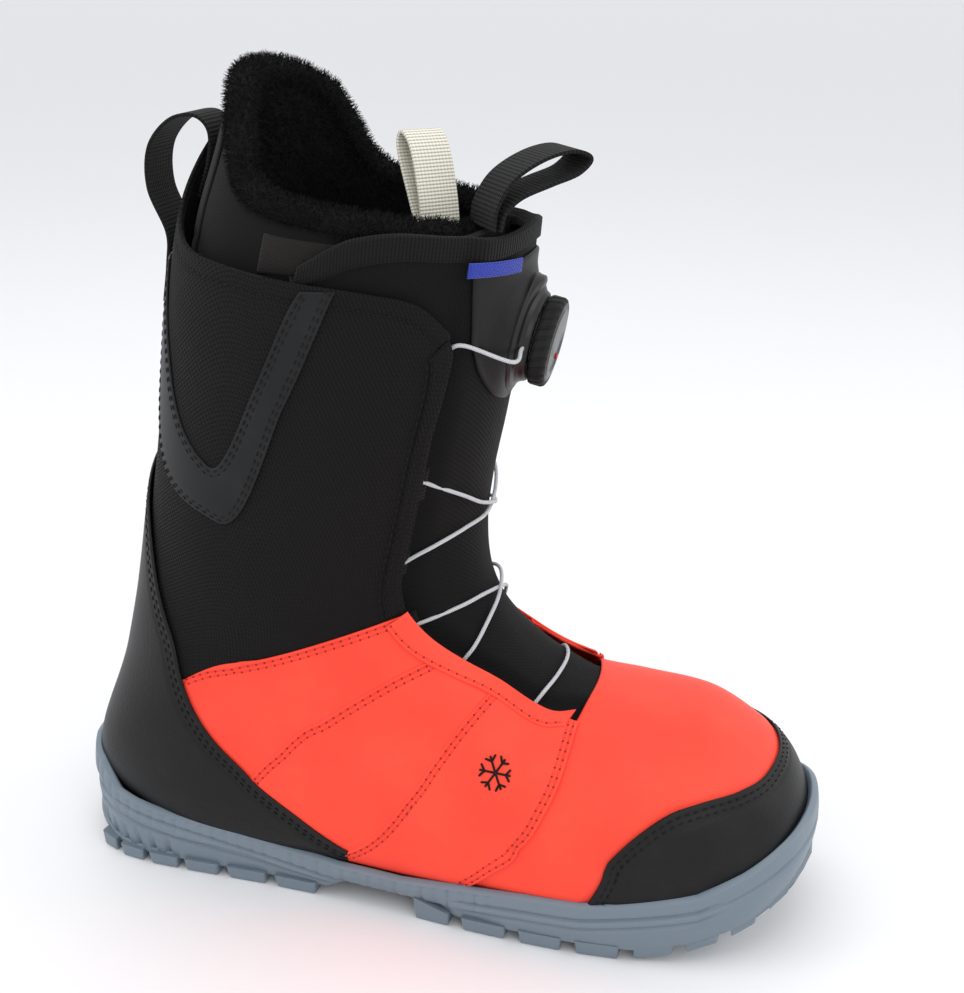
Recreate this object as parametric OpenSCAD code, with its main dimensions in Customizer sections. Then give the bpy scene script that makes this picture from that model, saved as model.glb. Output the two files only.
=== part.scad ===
/* [Boot size] */
// Outside length of the sole, heel to toe
sole_length = 304; // [240:1:350]
// Full width across the forefoot of the sole
sole_width = 112; // [90:1:135]
// Height of the shell's back edge above the floor
shell_height = 293; // [230:1:350]
// Width of the upper across its widest part
upper_width = 106; // [85:1:130]

/* [Layers] */
// Thickness of the outer shell panels
shell_thick = 2.5; // [1.5:0.1:4]
// Thickness of the reinforcing overlays
overlay_thick = 1.2; // [0.6:0.1:2]
// Gap between one layer and the next
layer_gap = 0.6; // [0.3:0.1:1]
// Room under the cuff flaps for the lace
lace_room = 2.2; // [2:0.1:3]
// Thickness of the shell tongue
tongue_thick = 2.2; // [1.5:0.1:4]
// Thickness of the liner walls
liner_thick = 5.5; // [4:0.5:9]

/* [Sole] */
// Thickness of the rubber wall round the upper
sole_wall = 3; // [2:0.1:5]
// Depth of the channels between the lugs
lug_depth = 4; // [2:0.5:6]
// Width of the channels between the lugs
lug_gap = 5; // [3:0.5:8]
// Thickness of the plate in the arch
shank_thick = 2.4; // [1.5:0.1:4]
// Thickness of the board the upper is lasted to
board_thick = 2.4; // [1.5:0.1:4]

/* [Closure dial] */
// Diameter of the knob over its rubber grip
knob_d = 33.6; // [28:0.1:40]
// Height of the knob
knob_h = 6.6; // [5:0.1:10]
// Diameter of the sewn-on base flange
base_d = 39; // [34:0.5:46]
// Diameter of the dial's steel axle
axle_d = 5; // [4:0.1:7]
// Radial running clearance on the axle
axle_clear = 0.05; // [0.02:0.01:0.1]
// Height the knob pulls out to let the lace go
pull_travel = 2.5; // [1.5:0.1:3]
// Number of ribs round the rubber grip
grip_ribs = 30; // [16:1:48]

/* [Lace and webbing] */
// Diameter of the lace
lace_d = 1.7; // [1:0.1:2.5]
// Width of the black pull loops
loop_w = 22; // [15:1:30]
// Thickness of the webbing
web_thick = 1.4; // [1:0.1:2.5]
// Width of the liner's pull tab
tab_w = 16; // [10:1:24]

/* [Output] */
// Which sub-part to draw

/* [Hidden] */
eps = 0.01;
kx = sole_length / 304;
ky = upper_width / 106;
kz = shell_height / 293;
kw = sole_width / 112;

// Cross sections of the boot from toe tip to collar. Each holds the front point x and z, the back
// point x and z, half width outwards and inwards, where it is widest, and two roundness powers.
base_sections = [
    [149, 37, 148, 26, 7, 8, .50, 2.0, 2.0],
    [146, 51, 145, 17, 21, 24, .45, 2.0, 2.5],
    [138, 65, 136, 14, 34, 36, .42, 2.1, 3.2],
    [124, 76, 120, 12, 44, 45, .39, 2.2, 4.0],
    [105, 84, 100, 12, 51, 52, .38, 2.3, 4.5],
    [80, 87, 72, 12, 55, 54, .38, 2.3, 5.0],
    [58, 91, 42, 12, 54, 52, .38, 2.2, 5.0],
    [40, 100, 8, 12, 50, 48, .39, 2.2, 5.0],
    [27, 114, -42, 12, 46, 44, .40, 2.2, 4.5],
    [19, 131, -110, 12, 45, 43, .43, 2.2, 3.6],
    [17, 150, -145, 38, 46, 45, .46, 2.2, 2.6],
    [19, 170, -131, 90, 48, 47, .48, 2.2, 2.2],
    [24, 197, -118, 150, 52, 51, .48, 2.2, 2.2],
    [29, 225, -109.5, 205, 54, 53, .48, 2.2, 2.2],
    [32, 250, -102, 255, 55, 54, .48, 2.2, 2.2],
    [34, 272, -90, 293, 55, 54, .48, 2.2, 2.2],
    [36, 294, -79, 328, 55, 54, .48, 2.2, 2.2]
];
sections = [
    for (r = base_sections)
        [r[0] * kx, r[1] * kz, r[2] * kx, r[3] * kz, r[4] * ky, r[5] * ky, r[6], r[7], r[8]]
];
section_count = len(sections);

// Depths of the layers below the outer surface
shell_in = -shell_thick;
tongue_out = shell_in - lace_room - layer_gap / 2;
tongue_in = tongue_out - tongue_thick;
liner_out = tongue_in - layer_gap;
liner_in = liner_out - liner_thick;
over_in = layer_gap;
over_out = over_in + overlay_thick;

function mixed(a, b, t) = a + (b - a) * t;
function signed_pow(v, e) = sign(v) * pow(abs(v), e);
function section_at(s) =
    let (i = min(max(floor(s), 0), section_count - 2), t = s - i)
    let (b = sections[i], c = sections[i + 1])
    let (a = i > 0 ? sections[i - 1] : 2 * b - c)
    let (d = i + 2 < section_count ? sections[i + 2] : 2 * c - b)
    0.5 * (2 * b + (c - a) * t + (2 * a - 5 * b + 4 * c - d) * t * t
        + (3 * b - 3 * c + d - a) * t * t * t);

// A point of the boot: s along the sections, a round them (0 front, 90 outer side, 180 back)
function skin(s, a, depth) =
    let (r = section_at(s), c = cos(a), d = sin(a))
    let (n = c > 0 ? r[7] : r[8], w = d > 0 ? r[4] : r[5])
    let (h = norm([r[0] - r[2], r[1] - r[3]]))
    let (ux = (r[0] - r[2]) / h, uz = (r[1] - r[3]) / h)
    let (half = (c > 0 ? 1 - r[6] : r[6]) * h + depth)
    let (u = r[6] * h + half * signed_pow(c, 2 / n))
    [r[2] + ux * u, -(w + depth) * signed_pow(d, 2 / n), r[3] + uz * u];

// An edge with extra points between its corners
function fine(edge, k) = [
    for (i = [0:len(edge) - 2])
        for (j = [0:k - 1]) mixed(edge[i], edge[i + 1], j / k),
    edge[len(edge) - 1]
];
// The same edge on the inner side of the boot
function inner(edge) = [for (i = [len(edge) - 1:-1:0]) [edge[i][0], -edge[i][1]]];
function both(edge) = concat([for (i = [len(edge) - 1:-1:1]) [edge[i][0], -edge[i][1]]], edge);

// A sheet of the shell between a lower and an upper edge
module panel(low, high, rows, k, d_in, d_out) {
    a = fine(low, k);
    b = fine(high, k);
    n = len(a);
    q = (rows + 1) * n;
    outer_pts = [
        for (i = [0:rows])
            for (j = [0:n - 1])
                let (p = mixed(a[j], b[j], i / rows)) skin(p[0], p[1], d_out)
    ];
    inner_pts = [
        for (i = [0:rows])
            for (j = [0:n - 1])
                let (p = mixed(a[j], b[j], i / rows)) skin(p[0], p[1], d_in)
    ];
    cells = [for (i = [0:rows - 1]) for (j = [0:n - 2]) i * n + j];
    rim = concat(
        [for (j = [0:n - 2]) [j, j + 1]],
        [for (i = [0:rows - 1]) [i * n + n - 1, (i + 1) * n + n - 1]],
        [for (j = [n - 1:-1:1]) [rows * n + j, rows * n + j - 1]],
        [for (i = [rows:-1:1]) [i * n, (i - 1) * n]]
    );
    faces = concat(
        [for (v = cells) [v, v + n + 1, v + n]],
        [for (v = cells) [v, v + 1, v + n + 1]],
        [for (v = cells) [q + v, q + v + n, q + v + n + 1]],
        [for (v = cells) [q + v, q + v + n + 1, q + v + 1]],
        [for (e = rim) [e[0], q + e[1], e[1]]],
        [for (e = rim) [e[0], q + e[0], q + e[1]]]
    );
    polyhedron(points = concat(outer_pts, inner_pts), faces = faces, convexity = 8);
}

// A sock-shaped wall, closed at its toe
module sock(s_out, s_in, s_top, rows, n, d_in, d_out) {
    q = (rows + 1) * n;
    outer_pts = [
        for (i = [0:rows]) for (j = [0:n - 1]) skin(mixed(s_out, s_top, i / rows), 360 * j / n, d_out)
    ];
    inner_pts = [
        for (i = [0:rows]) for (j = [0:n - 1]) skin(mixed(s_in, s_top, i / rows), 360 * j / n, d_in)
    ];
    tips = [
        (skin(s_out, 0, d_out) + skin(s_out, 180, d_out)) / 2,
        (skin(s_in, 0, d_in) + skin(s_in, 180, d_in)) / 2
    ];
    ring = [for (j = [0:n - 1]) [j, (j + 1) % n]];
    grid = [for (i = [0:rows - 1]) for (e = ring) [i * n + e[0], i * n + e[1]]];
    top = rows * n;
    faces = concat(
        [for (e = grid) [e[0], e[1] + n, e[0] + n]],
        [for (e = grid) [e[0], e[1], e[1] + n]],
        [for (e = grid) [q + e[0], q + e[0] + n, q + e[1] + n]],
        [for (e = grid) [q + e[0], q + e[1] + n, q + e[1]]],
        [for (e = ring) [top + e[0], q + top + e[1], q + top + e[0]]],
        [for (e = ring) [top + e[0], top + e[1], q + top + e[1]]],
        [for (e = ring) [2 * q, e[1], e[0]]],
        [for (e = ring) [2 * q + 1, q + e[0], q + e[1]]]
    );
    polyhedron(points = concat(outer_pts, inner_pts, tips), faces = faces, convexity = 8);
}

// A round tube along a route
module tube(route, r, n) {
    m = len(route);
    pts = [
        for (i = [0:m - 1])
            let (t = route[min(i + 1, m - 1)] - route[max(i - 1, 0)], tn = t / norm(t))
            let (e = cross(tn, [0.36, 0.2, 0.91]), en = e / norm(e), f = cross(tn, en))
            for (j = [0:n - 1])
                route[i] + r * (en * cos(360 * j / n) + f * sin(360 * j / n))
    ];
    ring = [for (j = [0:n - 1]) [j, (j + 1) % n]];
    grid = [for (i = [0:m - 2]) for (e = ring) [i * n + e[0], i * n + e[1]]];
    faces = concat(
        [for (e = grid) [e[0], e[0] + n, e[1] + n]],
        [for (e = grid) [e[0], e[1] + n, e[1]]],
        [[for (j = [0:n - 1]) j]],
        [[for (j = [n - 1:-1:0]) (m - 1) * n + j]]
    );
    polyhedron(points = pts, faces = faces, convexity = 12);
}

function smooth_at(p, i, t) =
    let (n = len(p) - 1, b = p[i], c = p[i + 1])
    let (a = i > 0 ? p[i - 1] : 2 * b - c, d = i + 2 <= n ? p[i + 2] : 2 * c - b)
    0.5 * (2 * b + (c - a) * t + (2 * a - 5 * b + 4 * c - d) * t * t
        + (3 * b - 3 * c + d - a) * t * t * t);
function smooth(p, k) = [
    for (i = [0:len(p) - 2]) for (j = [0:k - 1]) smooth_at(p, i, j / k),
    p[len(p) - 1]
];

// ---- sole ----
outline_corners = [
    [-152, 2], [-150, -16], [-140, -32], [-116, -43], [-60, -45.5], [-15, -49], [30, -55], [70, -57.6],
    [104, -54.5], [128, -46], [142, -34], [149.5, -18], [152, 2], [149, 21], [139, 37], [122, 48.5],
    [92, 57], [66, 56.6], [25, 52], [-20, 47.5], [-70, 44.5], [-116, 42], [-140, 32], [-149.5, 18]
];
function sole_point(p, inset) =
    let (x = p[0] * kx, y = p[1] * kw, h = norm([x * 0.42, y]))
    [x - inset * x * 0.42 / h, y - inset * y / h];
function sole_outline(inset) =
    let (ring = [for (p = outline_corners) sole_point(p, inset)])
    smooth(concat(ring, [ring[0]]), 2);
wall_top = [
    [153, 52], [147, 49.5], [142, 47], [128, 39], [111, 31], [90, 27], [68, 23], [45, 21], [0, 18],
    [-52, 19.5], [-101, 26], [-120, 30], [-134, 36], [-143, 44], [-153, 46]
];
tread_line = [
    [-153, 14], [-146, 9], [-136, 3], [-124, 0], [-34, 0], [-27, 8], [12, 8], [19, 0], [88, 0],
    [110, 3], [130, 10], [145, 20], [153, 27]
];
pocket_line = [
    [-160, 17], [-146, 14], [-136, 9], [-124, 7], [-40, 7], [-30, 12.5], [14, 12.5], [24, 7],
    [100, 7], [118, 9], [130, 15], [145, 25], [160, 33]
];
floor_drop = 3;
board_top = 12 * kz - liner_out - layer_gap - floor_drop;
foam_top = board_top - board_thick - eps;
lug_cuts = [-112, -88, -64, -44, 34, 54, 74, 94];

// Window in the arch of the sole that the stiff plate sits in
shank_low = 8 - shank_thick / 2;
shank_high = shank_low + 1.5 * shank_thick + eps;
function shank_plan(inset) = [
    for (p = [[-25, -34], [12, -38], [12, 33], [-25, 32]])
        [p[0] * kx - sign(p[0]) * inset, p[1] * kw - sign(p[1]) * inset]
];

module side_profile(lower, upper) {
    pts = concat([for (p = lower) [p[0] * kx, p[1]]], [for (p = upper) [p[0] * kx, p[1]]]);
    translate([0, 200, 0]) rotate([90, 0, 0]) linear_extrude(400) polygon(pts);
}

module outsole() color([0.44, 0.5, 0.56]) difference() {
    intersection() {
        linear_extrude(90) polygon(sole_outline(0));
        side_profile(tread_line, wall_top);
    }
    intersection() {
        translate([0, 0, 1]) linear_extrude(90) polygon(sole_outline(sole_wall));
        side_profile(pocket_line, [[160, 100], [-160, 100]]);
    }
    for (x = lug_cuts)
        translate([x * kx - lug_gap / 2, -100, -1]) cube([lug_gap, 200, lug_depth + 1]);
    for (x = [-138, 112, 128])
        translate([x * kx, 0, 0]) rotate([0, x < 0 ? 24 : -22, 0])
            translate([-lug_gap / 2, -100, -1]) cube([lug_gap, 200, lug_depth + 3]);
    linear_extrude(shank_high) polygon(shank_plan(0));
    cap_layer(2 * shell_in, layer_gap / 2);
    counter_layer(shell_in, over_out + counter_lift + layer_gap / 2);
}

module shank_plate() color([0.06, 0.06, 0.07])
    translate([0, 0, shank_low]) linear_extrude(shank_thick) polygon(shank_plan(layer_gap / 2));

module midsole() color([0.75, 0.76, 0.78]) intersection() {
    linear_extrude(60) polygon(sole_outline(sole_wall + 8));
    side_profile([for (p = pocket_line) [p[0], p[1] + layer_gap / 2]], [[160, 60], [-160, 60]]);
    translate([-200, -200, 0]) cube([400, 400, foam_top]);
}

module lasting_board() color([0.82, 0.8, 0.72])
    translate([0, 0, foam_top + eps]) linear_extrude(board_thick)
        intersection() {
            polygon(sole_outline(sole_wall + 9));
            translate([-124 * kx, -100]) square([238 * kx, 200]);
        }

// ---- foot panels ----
cap_edge = [[2.3, 0], [2.56, 28], [3.08, 44], [3.78, 56], [4.28, 65], [4.78, 82], [5.05, 98], [5.2, 126]];
vamp_edge = [[5.76, 0], [5.83, 18], [5.86, 32], [5.81, 45], [5.85, 57], [5.94, 77], [6.3, 96], [6.7, 126]];
front_low = [[5.9, 34], [5.87, 57], [5.98, 74], [6.12, 88], [6.48, 100], [6.75, 126]];
seam_b = [[7.45, 33], [7.57, 45], [7.66, 60], [7.69, 74], [7.72, 92], [7.95, 126]];
seam_a = [[8.58, 43], [8.8, 56], [8.88, 66], [8.9, 76], [8.95, 88], [8.35, 124]];
rear_low = [[8.63, 43], [8.85, 56], [8.95, 72], [9, 85], [9.08, 94], [9.1, 97]];
black_seam = [[9.55, 45], [9.74, 56], [9.94, 68], [10.2, 84], [10.42, 97], [10.4, 103]];
function shifted(edge, d) = [for (p = edge) [p[0] + d, p[1]]];

module cap_layer(d_in, d_out)
    panel(both([for (p = cap_edge) [0.3, p[1]]]), both(cap_edge), 6, 1, d_in, d_out);
module toe_cap() color([0.05, 0.05, 0.055])
    cap_layer(shell_in, 0);
module vamp() color([1, 0.36, 0.27])
    panel(both(shifted(cap_edge, 0.05)), both(vamp_edge), 6, 1, shell_in, 0);
module lateral_quarter_front() color([1, 0.36, 0.27])
    panel(front_low, shifted(seam_b, -0.02), 5, 2, shell_in, 0);
module medial_quarter_front() color([1, 0.36, 0.27])
    panel(inner(front_low), inner(shifted(seam_b, -0.02)), 5, 2, shell_in, 0);
module lateral_quarter_mid() color([1, 0.36, 0.27])
    panel(shifted(seam_b, 0.02), shifted(seam_a, -0.02), 4, 2, shell_in, 0);
module medial_quarter_mid() color([1, 0.36, 0.27])
    panel(inner(shifted(seam_b, 0.02)), inner(shifted(seam_a, -0.02)), 4, 2, shell_in, 0);
module lateral_quarter_rear() color([1, 0.36, 0.27])
    panel(rear_low, black_seam, 4, 2, shell_in, 0);
module medial_quarter_rear() color([1, 0.36, 0.27])
    panel(inner(rear_low), inner(black_seam), 4, 2, shell_in, 0);

// ---- heel and shaft ----
counter_low = [[9.5, 180], [9.46, 160], [9.28, 142], [8.95, 130], [8.5, 124], [8.1, 122]];
counter_high = [[12.4, 180], [12.0, 150], [11.22, 124], [10.2, 104], [9.3, 97], [8.35, 111]];
counter_lift = 0.5;
function upside(edge) = [for (i = [len(edge) - 1:-1:0]) edge[i]];
function round_heel(edge) =
    concat(upside(edge), [for (i = [1:len(edge) - 1]) [edge[i][0], 360 - edge[i][1]]]);
module counter_layer(d_in, d_out) panel(round_heel(counter_low), round_heel(counter_high), 7, 2, d_in, d_out);
module heel_overlay() color([0.05, 0.05, 0.055])
    counter_layer(over_in + counter_lift, over_out + counter_lift);

cuff_low = [
    [9.62, 45], [9.8, 56], [10, 68], [10.26, 84], [10.55, 101], [10.1, 125], [9.85, 150], [9.8, 179.4]
];
cuff_high = [
    [13.36, 43], [13.75, 56], [13.88, 72], [13.95, 91], [14.02, 113], [14.1, 137], [14.36, 156], [15, 179.4]
];
module lateral_cuff() color([0.09, 0.09, 0.1]) panel(cuff_low, cuff_high, 9, 2, shell_in, 0);
module medial_cuff() color([0.09, 0.09, 0.1]) panel(inner(cuff_low), inner(cuff_high), 9, 2, shell_in, 0);

v_out = [[13.8, 87], [12.62, 95], [11.93, 100], [12.2, 124], [12.85, 145], [13.85, 155]];
v_in = [[13.82, 93], [13.1, 101], [12.4, 108], [12.5, 119], [12.89, 129], [13.8, 142]];
module lateral_v_overlay() color([0.07, 0.08, 0.085]) panel(v_out, v_in, 2, 3, over_in, over_out);
module medial_v_overlay() color([0.07, 0.08, 0.085])
    panel(inner(v_out), inner(v_in), 2, 3, over_in, over_out);

flap_edge = [[9.7, 45.5], [10.8, 46.5], [11.9, 45.5], [12.6, 43], [13.1, 42.5], [13.34, 45]];
flap_in = [[9.75, 50.5], [10.8, 51.5], [11.9, 50.5], [12.6, 48], [13.0, 48], [13.1, 50]];
module lateral_flap_facing() color([0.04, 0.04, 0.045]) panel(flap_in, flap_edge, 1, 3, over_in, over_out);
module medial_flap_facing() color([0.04, 0.04, 0.045])
    panel(inner(flap_in), inner(flap_edge), 1, 3, over_in, over_out);

stay_edge = [[6.35, 35], [7.4, 36], [8.2, 41], [9, 45.5], [9.5, 48.5]];
stay_in = [[6.4, 44], [7.4, 44], [8.2, 48], [9, 52.5], [9.5, 55.5]];
module lateral_eyestay() color([1, 0.33, 0.24]) panel(stay_in, stay_edge, 1, 3, over_in, over_out);
module medial_eyestay() color([1, 0.33, 0.24])
    panel(inner(stay_in), inner(stay_edge), 1, 3, over_in, over_out);

// ---- tongue ----
tongue_top = 14.15;
mesh_out = -lace_d - 0.5;
tongue_rise = [for (s = [6.1, 7, 8, 9, 10, 11, 12, 13, tongue_top]) [s, min(32 + 5.4 * (s - 6.1), 70)]];
module tongue() color([0.08, 0.08, 0.09])
    panel(tongue_rise, upside(inner(tongue_rise)), 14, 1, tongue_in, tongue_out);
mesh_edge = [for (s = [6.15, 7, 8, 9, 10, 11, 12.1]) [s, s < 6.5 ? 20 : 24 + 1.5 * (s - 6.1)]];
module tongue_mesh() color([0.1, 0.1, 0.11])
    panel(mesh_edge, upside(inner(mesh_edge)), 6, 1, tongue_out + layer_gap, mesh_out);
pad_edge = [[12.2, 12], [12.55, 30], [13, 34], [13.55, 34], [14.1, 34]];
module tongue_pad() color([0.06, 0.06, 0.065])
    panel(pad_edge, upside(inner(pad_edge)), 6, 2, tongue_out + layer_gap / 2, -layer_gap);
bind_low = [for (a = [76, 62, 44, 26, 10, 0]) [tongue_top + 0.02, a]];
bind_high = [[14.3, 80], [14.6, 64], [14.62, 44], [14.66, 26], [14.76, 10], [14.8, 0]];
module tongue_binding() color([0.05, 0.05, 0.055])
    panel(both(upside(bind_low)), both(upside(bind_high)), 2, 2, tongue_in, tongue_out + 3);
label_low = [[14.14, 12], [14.18, 40]];
label_high = [[14.3, 12], [14.3, 40]];
module tongue_label() color([0.13, 0.2, 0.6])
    panel(label_low, label_high, 1, 3, tongue_out + 3 + layer_gap / 2, 0.5);

// ---- lace guides: short webbing strips wrapped over the edge the lace leaves from ----
module guide(s, a) color([0.05, 0.05, 0.055])
    panel([[s - 0.2, a], [s - 0.2, a + 14]], [[s + 0.2, a], [s + 0.2, a + 14]], 2, 2,
        over_out + 0.3, over_out + 1.2);
module mirrored_guide(s, a) color([0.05, 0.05, 0.055])
    panel([[s - 0.2, -a - 14], [s - 0.2, -a]], [[s + 0.2, -a - 14], [s + 0.2, -a]], 2, 2,
        over_out + 0.3, over_out + 1.2);
module lateral_guide_1() guide(11.55, 47);
module lateral_guide_2() guide(10.42, 47.5);
module lateral_guide_3() guide(9.3, 47.5);
module lateral_guide_4() guide(8.2, 42.5);
module lateral_guide_5() guide(6.8, 36.5);
module medial_guide_1() mirrored_guide(11.55, 47);
module medial_guide_2() mirrored_guide(10.42, 47.5);
module medial_guide_3() mirrored_guide(9.3, 47.5);
module medial_guide_4() mirrored_guide(8.2, 42.5);
module medial_guide_5() mirrored_guide(6.8, 36.5);

// ---- closure dial, drawn along its own axis and then set on the tongue ----
dial_lean = 12;
dial_seat = [29.2 * kx, 0, 225.5 * kz];
flange_h = 1.4;
body_d = base_d - 8;
well_d = body_d - 6;
body_top = 5.6;
spool_low = 2.1;
spool_top = 4.5;
knob_low = 6.2;
axle_top = knob_low + knob_h - 1.6;
drive_low = 4.8;
drive_h = 1.6;
hub_h = pull_travel;
bush_d = axle_d + 2;
hub_d = bush_d + 2.4;
module on_dial() translate(dial_seat) rotate([0, 90 + dial_lean, 0]) children();

module dial_base() color([0.07, 0.07, 0.08]) on_dial() difference() {
    union() {
        cylinder(d = base_d, h = flange_h, $fn = 96);
        cylinder(d = body_d, h = body_top, $fn = 96);
    }
    translate([0, 0, flange_h + 0.4]) cylinder(d = well_d, h = 10, $fn = 96);
    translate([0, 0, -1]) cylinder(d = axle_d, h = 10, $fn = 48);
    for (side = [-1, 1])
        translate([3, side * (body_d / 2 - 1.5), 3.35]) rotate([-side * 90, 0, 0])
            translate([0, 0, -4]) cylinder(d = lace_d + 0.7, h = 10, $fn = 24);
}
module dial_axle() color([0.7, 0.7, 0.72]) on_dial() {
    translate([0, 0, -0.3]) cylinder(d = axle_d, h = axle_top + 0.3, $fn = 48);
}
module lace_spool() color([0.12, 0.12, 0.13]) on_dial() difference() {
    translate([0, 0, spool_low]) cylinder(d = well_d - 3, h = spool_top - spool_low, $fn = 72);
    translate([0, 0, -1]) cylinder(d = axle_d + 2 * axle_clear, h = 10, $fn = 48);
    rotate_extrude($fn = 72)
        translate([(well_d - 3) / 2, (spool_low + spool_top) / 2]) circle(d = 1.2, $fn = 16);
}
module ratchet_ring() color([0.55, 0.56, 0.58]) on_dial() difference() {
    translate([0, 0, body_top - 0.8]) cylinder(d = well_d, h = 0.8, $fn = 96);
    translate([0, 0, body_top - 2]) cylinder(d = well_d - 3, h = 3, $fn = 96);
    for (i = [0:35])
        rotate(i * 10) translate([well_d / 2 - 1.6, 0, body_top - 1]) cylinder(r = 0.8, h = 2, $fn = 3);
}
module pull_bush() color([0.6, 0.6, 0.62]) on_dial() difference() {
    translate([0, 0, drive_low]) cylinder(d = bush_d, h = drive_h + hub_h, $fn = 48);
    translate([0, 0, 4]) cylinder(d = axle_d + 2 * axle_clear, h = 12, $fn = 48);
}
module drive_plate() color([0.2, 0.2, 0.22]) on_dial() difference() {
    union() {
        translate([0, 0, drive_low]) cylinder(d = well_d - 5, h = drive_h, $fn = 72);
        translate([0, 0, drive_low + drive_h]) cylinder(d = hub_d, h = hub_h, $fn = 48);
    }
    translate([0, 0, 4]) cylinder(d = bush_d + 2 * axle_clear, h = 12, $fn = 48);
}
core_d = knob_d - 3.2;
module knob_core() color([0.1, 0.1, 0.11]) on_dial() difference() {
    translate([0, 0, knob_low]) cylinder(d = core_d, h = knob_h, $fn = 96);
    translate([0, 0, knob_low - 1]) cylinder(d = well_d - 3, h = 1.9, $fn = 72);
    translate([0, 0, knob_low - 1]) cylinder(d = hub_d, h = 4.4, $fn = 48);
    translate([0, 0, knob_low - 1]) cylinder(d = axle_d + 1, h = knob_h - 0.2, $fn = 48);
    translate([0, 0, knob_low + knob_h - 0.6]) cylinder(d = core_d - 5, h = 2, $fn = 96);
}
module knob_grip() color([0.05, 0.05, 0.055]) on_dial() difference() {
    union() {
        translate([0, 0, knob_low + 0.4]) cylinder(d = knob_d - 1, h = knob_h - 0.8, $fn = 96);
        for (i = [0:grip_ribs - 1])
            rotate(i * 360 / grip_ribs) translate([knob_d / 2 - 0.8, 0, knob_low + 0.7])
                cylinder(r = 0.8, h = knob_h - 1.4, $fn = 12);
    }
    translate([0, 0, knob_low - 1]) cylinder(d = core_d, h = knob_h + 4, $fn = 96);
}
module knob_cap() color([0.3, 0.3, 0.32]) on_dial() difference() {
    translate([0, 0, knob_low + knob_h - 0.6]) cylinder(d = core_d - 5.2, h = 1.3, $fn = 96);
    translate([0, 0, knob_low + knob_h + 0.3]) difference() {
        cylinder(d = core_d - 9, h = 2, $fn = 72);
        translate([0, 0, -1]) cylinder(d = core_d - 14, h = 4, $fn = 72);
        translate([-20, 2, -1]) cube([40, 20, 4]);
    }
    translate([7, 7, knob_low + knob_h + 0.2]) cylinder(d = 2, h = 2, $fn = 24);
}
module knob_dot() color([0.8, 0.05, 0.05]) on_dial()
    translate([7, 7, knob_low + knob_h + 0.2]) cylinder(d = 1.9, h = 0.6, $fn = 24);

// ---- lace: one length from one side of the dial, down and back to the other side ----
function dial_point(p) =
    let (c = cos(dial_lean), s = sin(dial_lean))
    [dial_seat[0] + p[0] * -s + p[2] * c, dial_seat[1] + p[1], dial_seat[2] - p[0] * c - p[2] * s];
under = shell_in - lace_room / 2 - 0.05;
over = 0.9;
half_lace = [
    [13.1, 47, under], [12.6, 52, under], [12.1, 54, under], [11.75, 50, under], [11.55, 42, under + 0.5],
    [11.1, 26, over], [10.7, 13, over + 0.6]
];
mid_lace = [
    [10.35, -4, over + 1.2], [10.38, -20, over + 0.4], [10.45, -34, over - 0.6], [10.46, -44, under + 0.4],
    [10.4, -54, under], [10.0, -60, under], [9.55, -57, under], [9.35, -47, under], [9.2, -40, under + 0.6],
    [8.95, -26, over], [8.75, -12, over + 0.6], [8.5, 6, over + 1.2], [8.33, 20, over + 0.5],
    [8.22, 31, over - 1], [8.2, 38, under + 0.1], [8.16, 43, under], [7.9, 50, under], [7.4, 52, under],
    [6.95, 46, under], [6.8, 39, under], [6.74, 33, under + 0.1], [6.62, 24, over - 0.6], [6.5, 12, over],
    [6.45, 0, over]
];
function at(p) = skin(p[0], p[1], p[2]);
function flip(path) = [for (i = [len(path) - 1:-1:0]) [path[i][0], -path[i][1], path[i][2]]];
over_again = [
    for (p = flip(mid_lace)) [p[0] - (abs(p[1]) < 8 ? 0.02 : 0), p[1], p[2] - (abs(p[1]) < 30 ? 1 : 0)]
];
lace_route = concat(
    [dial_point([3, -13.4, 3.35]), dial_point([3.4, -17.5, 3.3]), dial_point([6, -24, 2])],
    [at([13.18, 37, -0.6]), at([13.16, 42, under + 0.6])],
    [for (p = half_lace) at(p)],
    [for (p = mid_lace) at(p)],
    [for (i = [1:len(over_again) - 1]) at(over_again[i])],
    [for (p = flip(half_lace)) at([p[0], p[1], p[2] + (abs(p[1]) < 20 ? -0.3 : 0)])],
    [at([13.16, -42, under + 0.6]), at([13.18, -37, -0.6])],
    [dial_point([6, 24, 2]), dial_point([3.4, 17.5, 3.3]), dial_point([3, 13.4, 3.35])]
);
module lace() color([0.8, 0.81, 0.82]) tube(lace_route, lace_d / 2, 8);

// ---- webbing loops: closed strips standing on edge ----
module strip(path, w) {
    n = len(path);
    side = [
        for (i = [0:n - 1])
            let (t = path[min(i + 1, n - 1)] - path[max(i - 1, 0)], u = [-t[1], t[0]] / norm(t))
            path[i] + u * web_thick / 2
    ];
    back = [
        for (i = [n - 1:-1:0])
            let (t = path[min(i + 1, n - 1)] - path[max(i - 1, 0)], u = [-t[1], t[0]] / norm(t))
            path[i] - u * web_thick / 2
    ];
    translate([0, w / 2, 0]) rotate([90, 0, 0]) linear_extrude(w) polygon(concat(side, back));
}
function back_at(s, depth) = let (p = skin(s, 180, depth)) [p[0], p[2]];
heel_top = back_at(15, 0);
loop_inner = (shell_in + liner_out) / 2 - 0.5;
loop_outer = web_thick / 2 + 0.3;
heel_path = smooth([
    back_at(14.4, loop_inner), back_at(14.75, loop_inner), heel_top + [3.6, 1.5], heel_top + [-2, 7],
    heel_top + [-12, 5], heel_top + [-20.5, -5], heel_top + [-21.5, -20], back_at(14.05, 3),
    back_at(13.8, loop_outer), back_at(13.5, loop_outer)
], 3);
module heel_loop() color([0.04, 0.04, 0.045]) strip(heel_path, loop_w);

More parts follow.
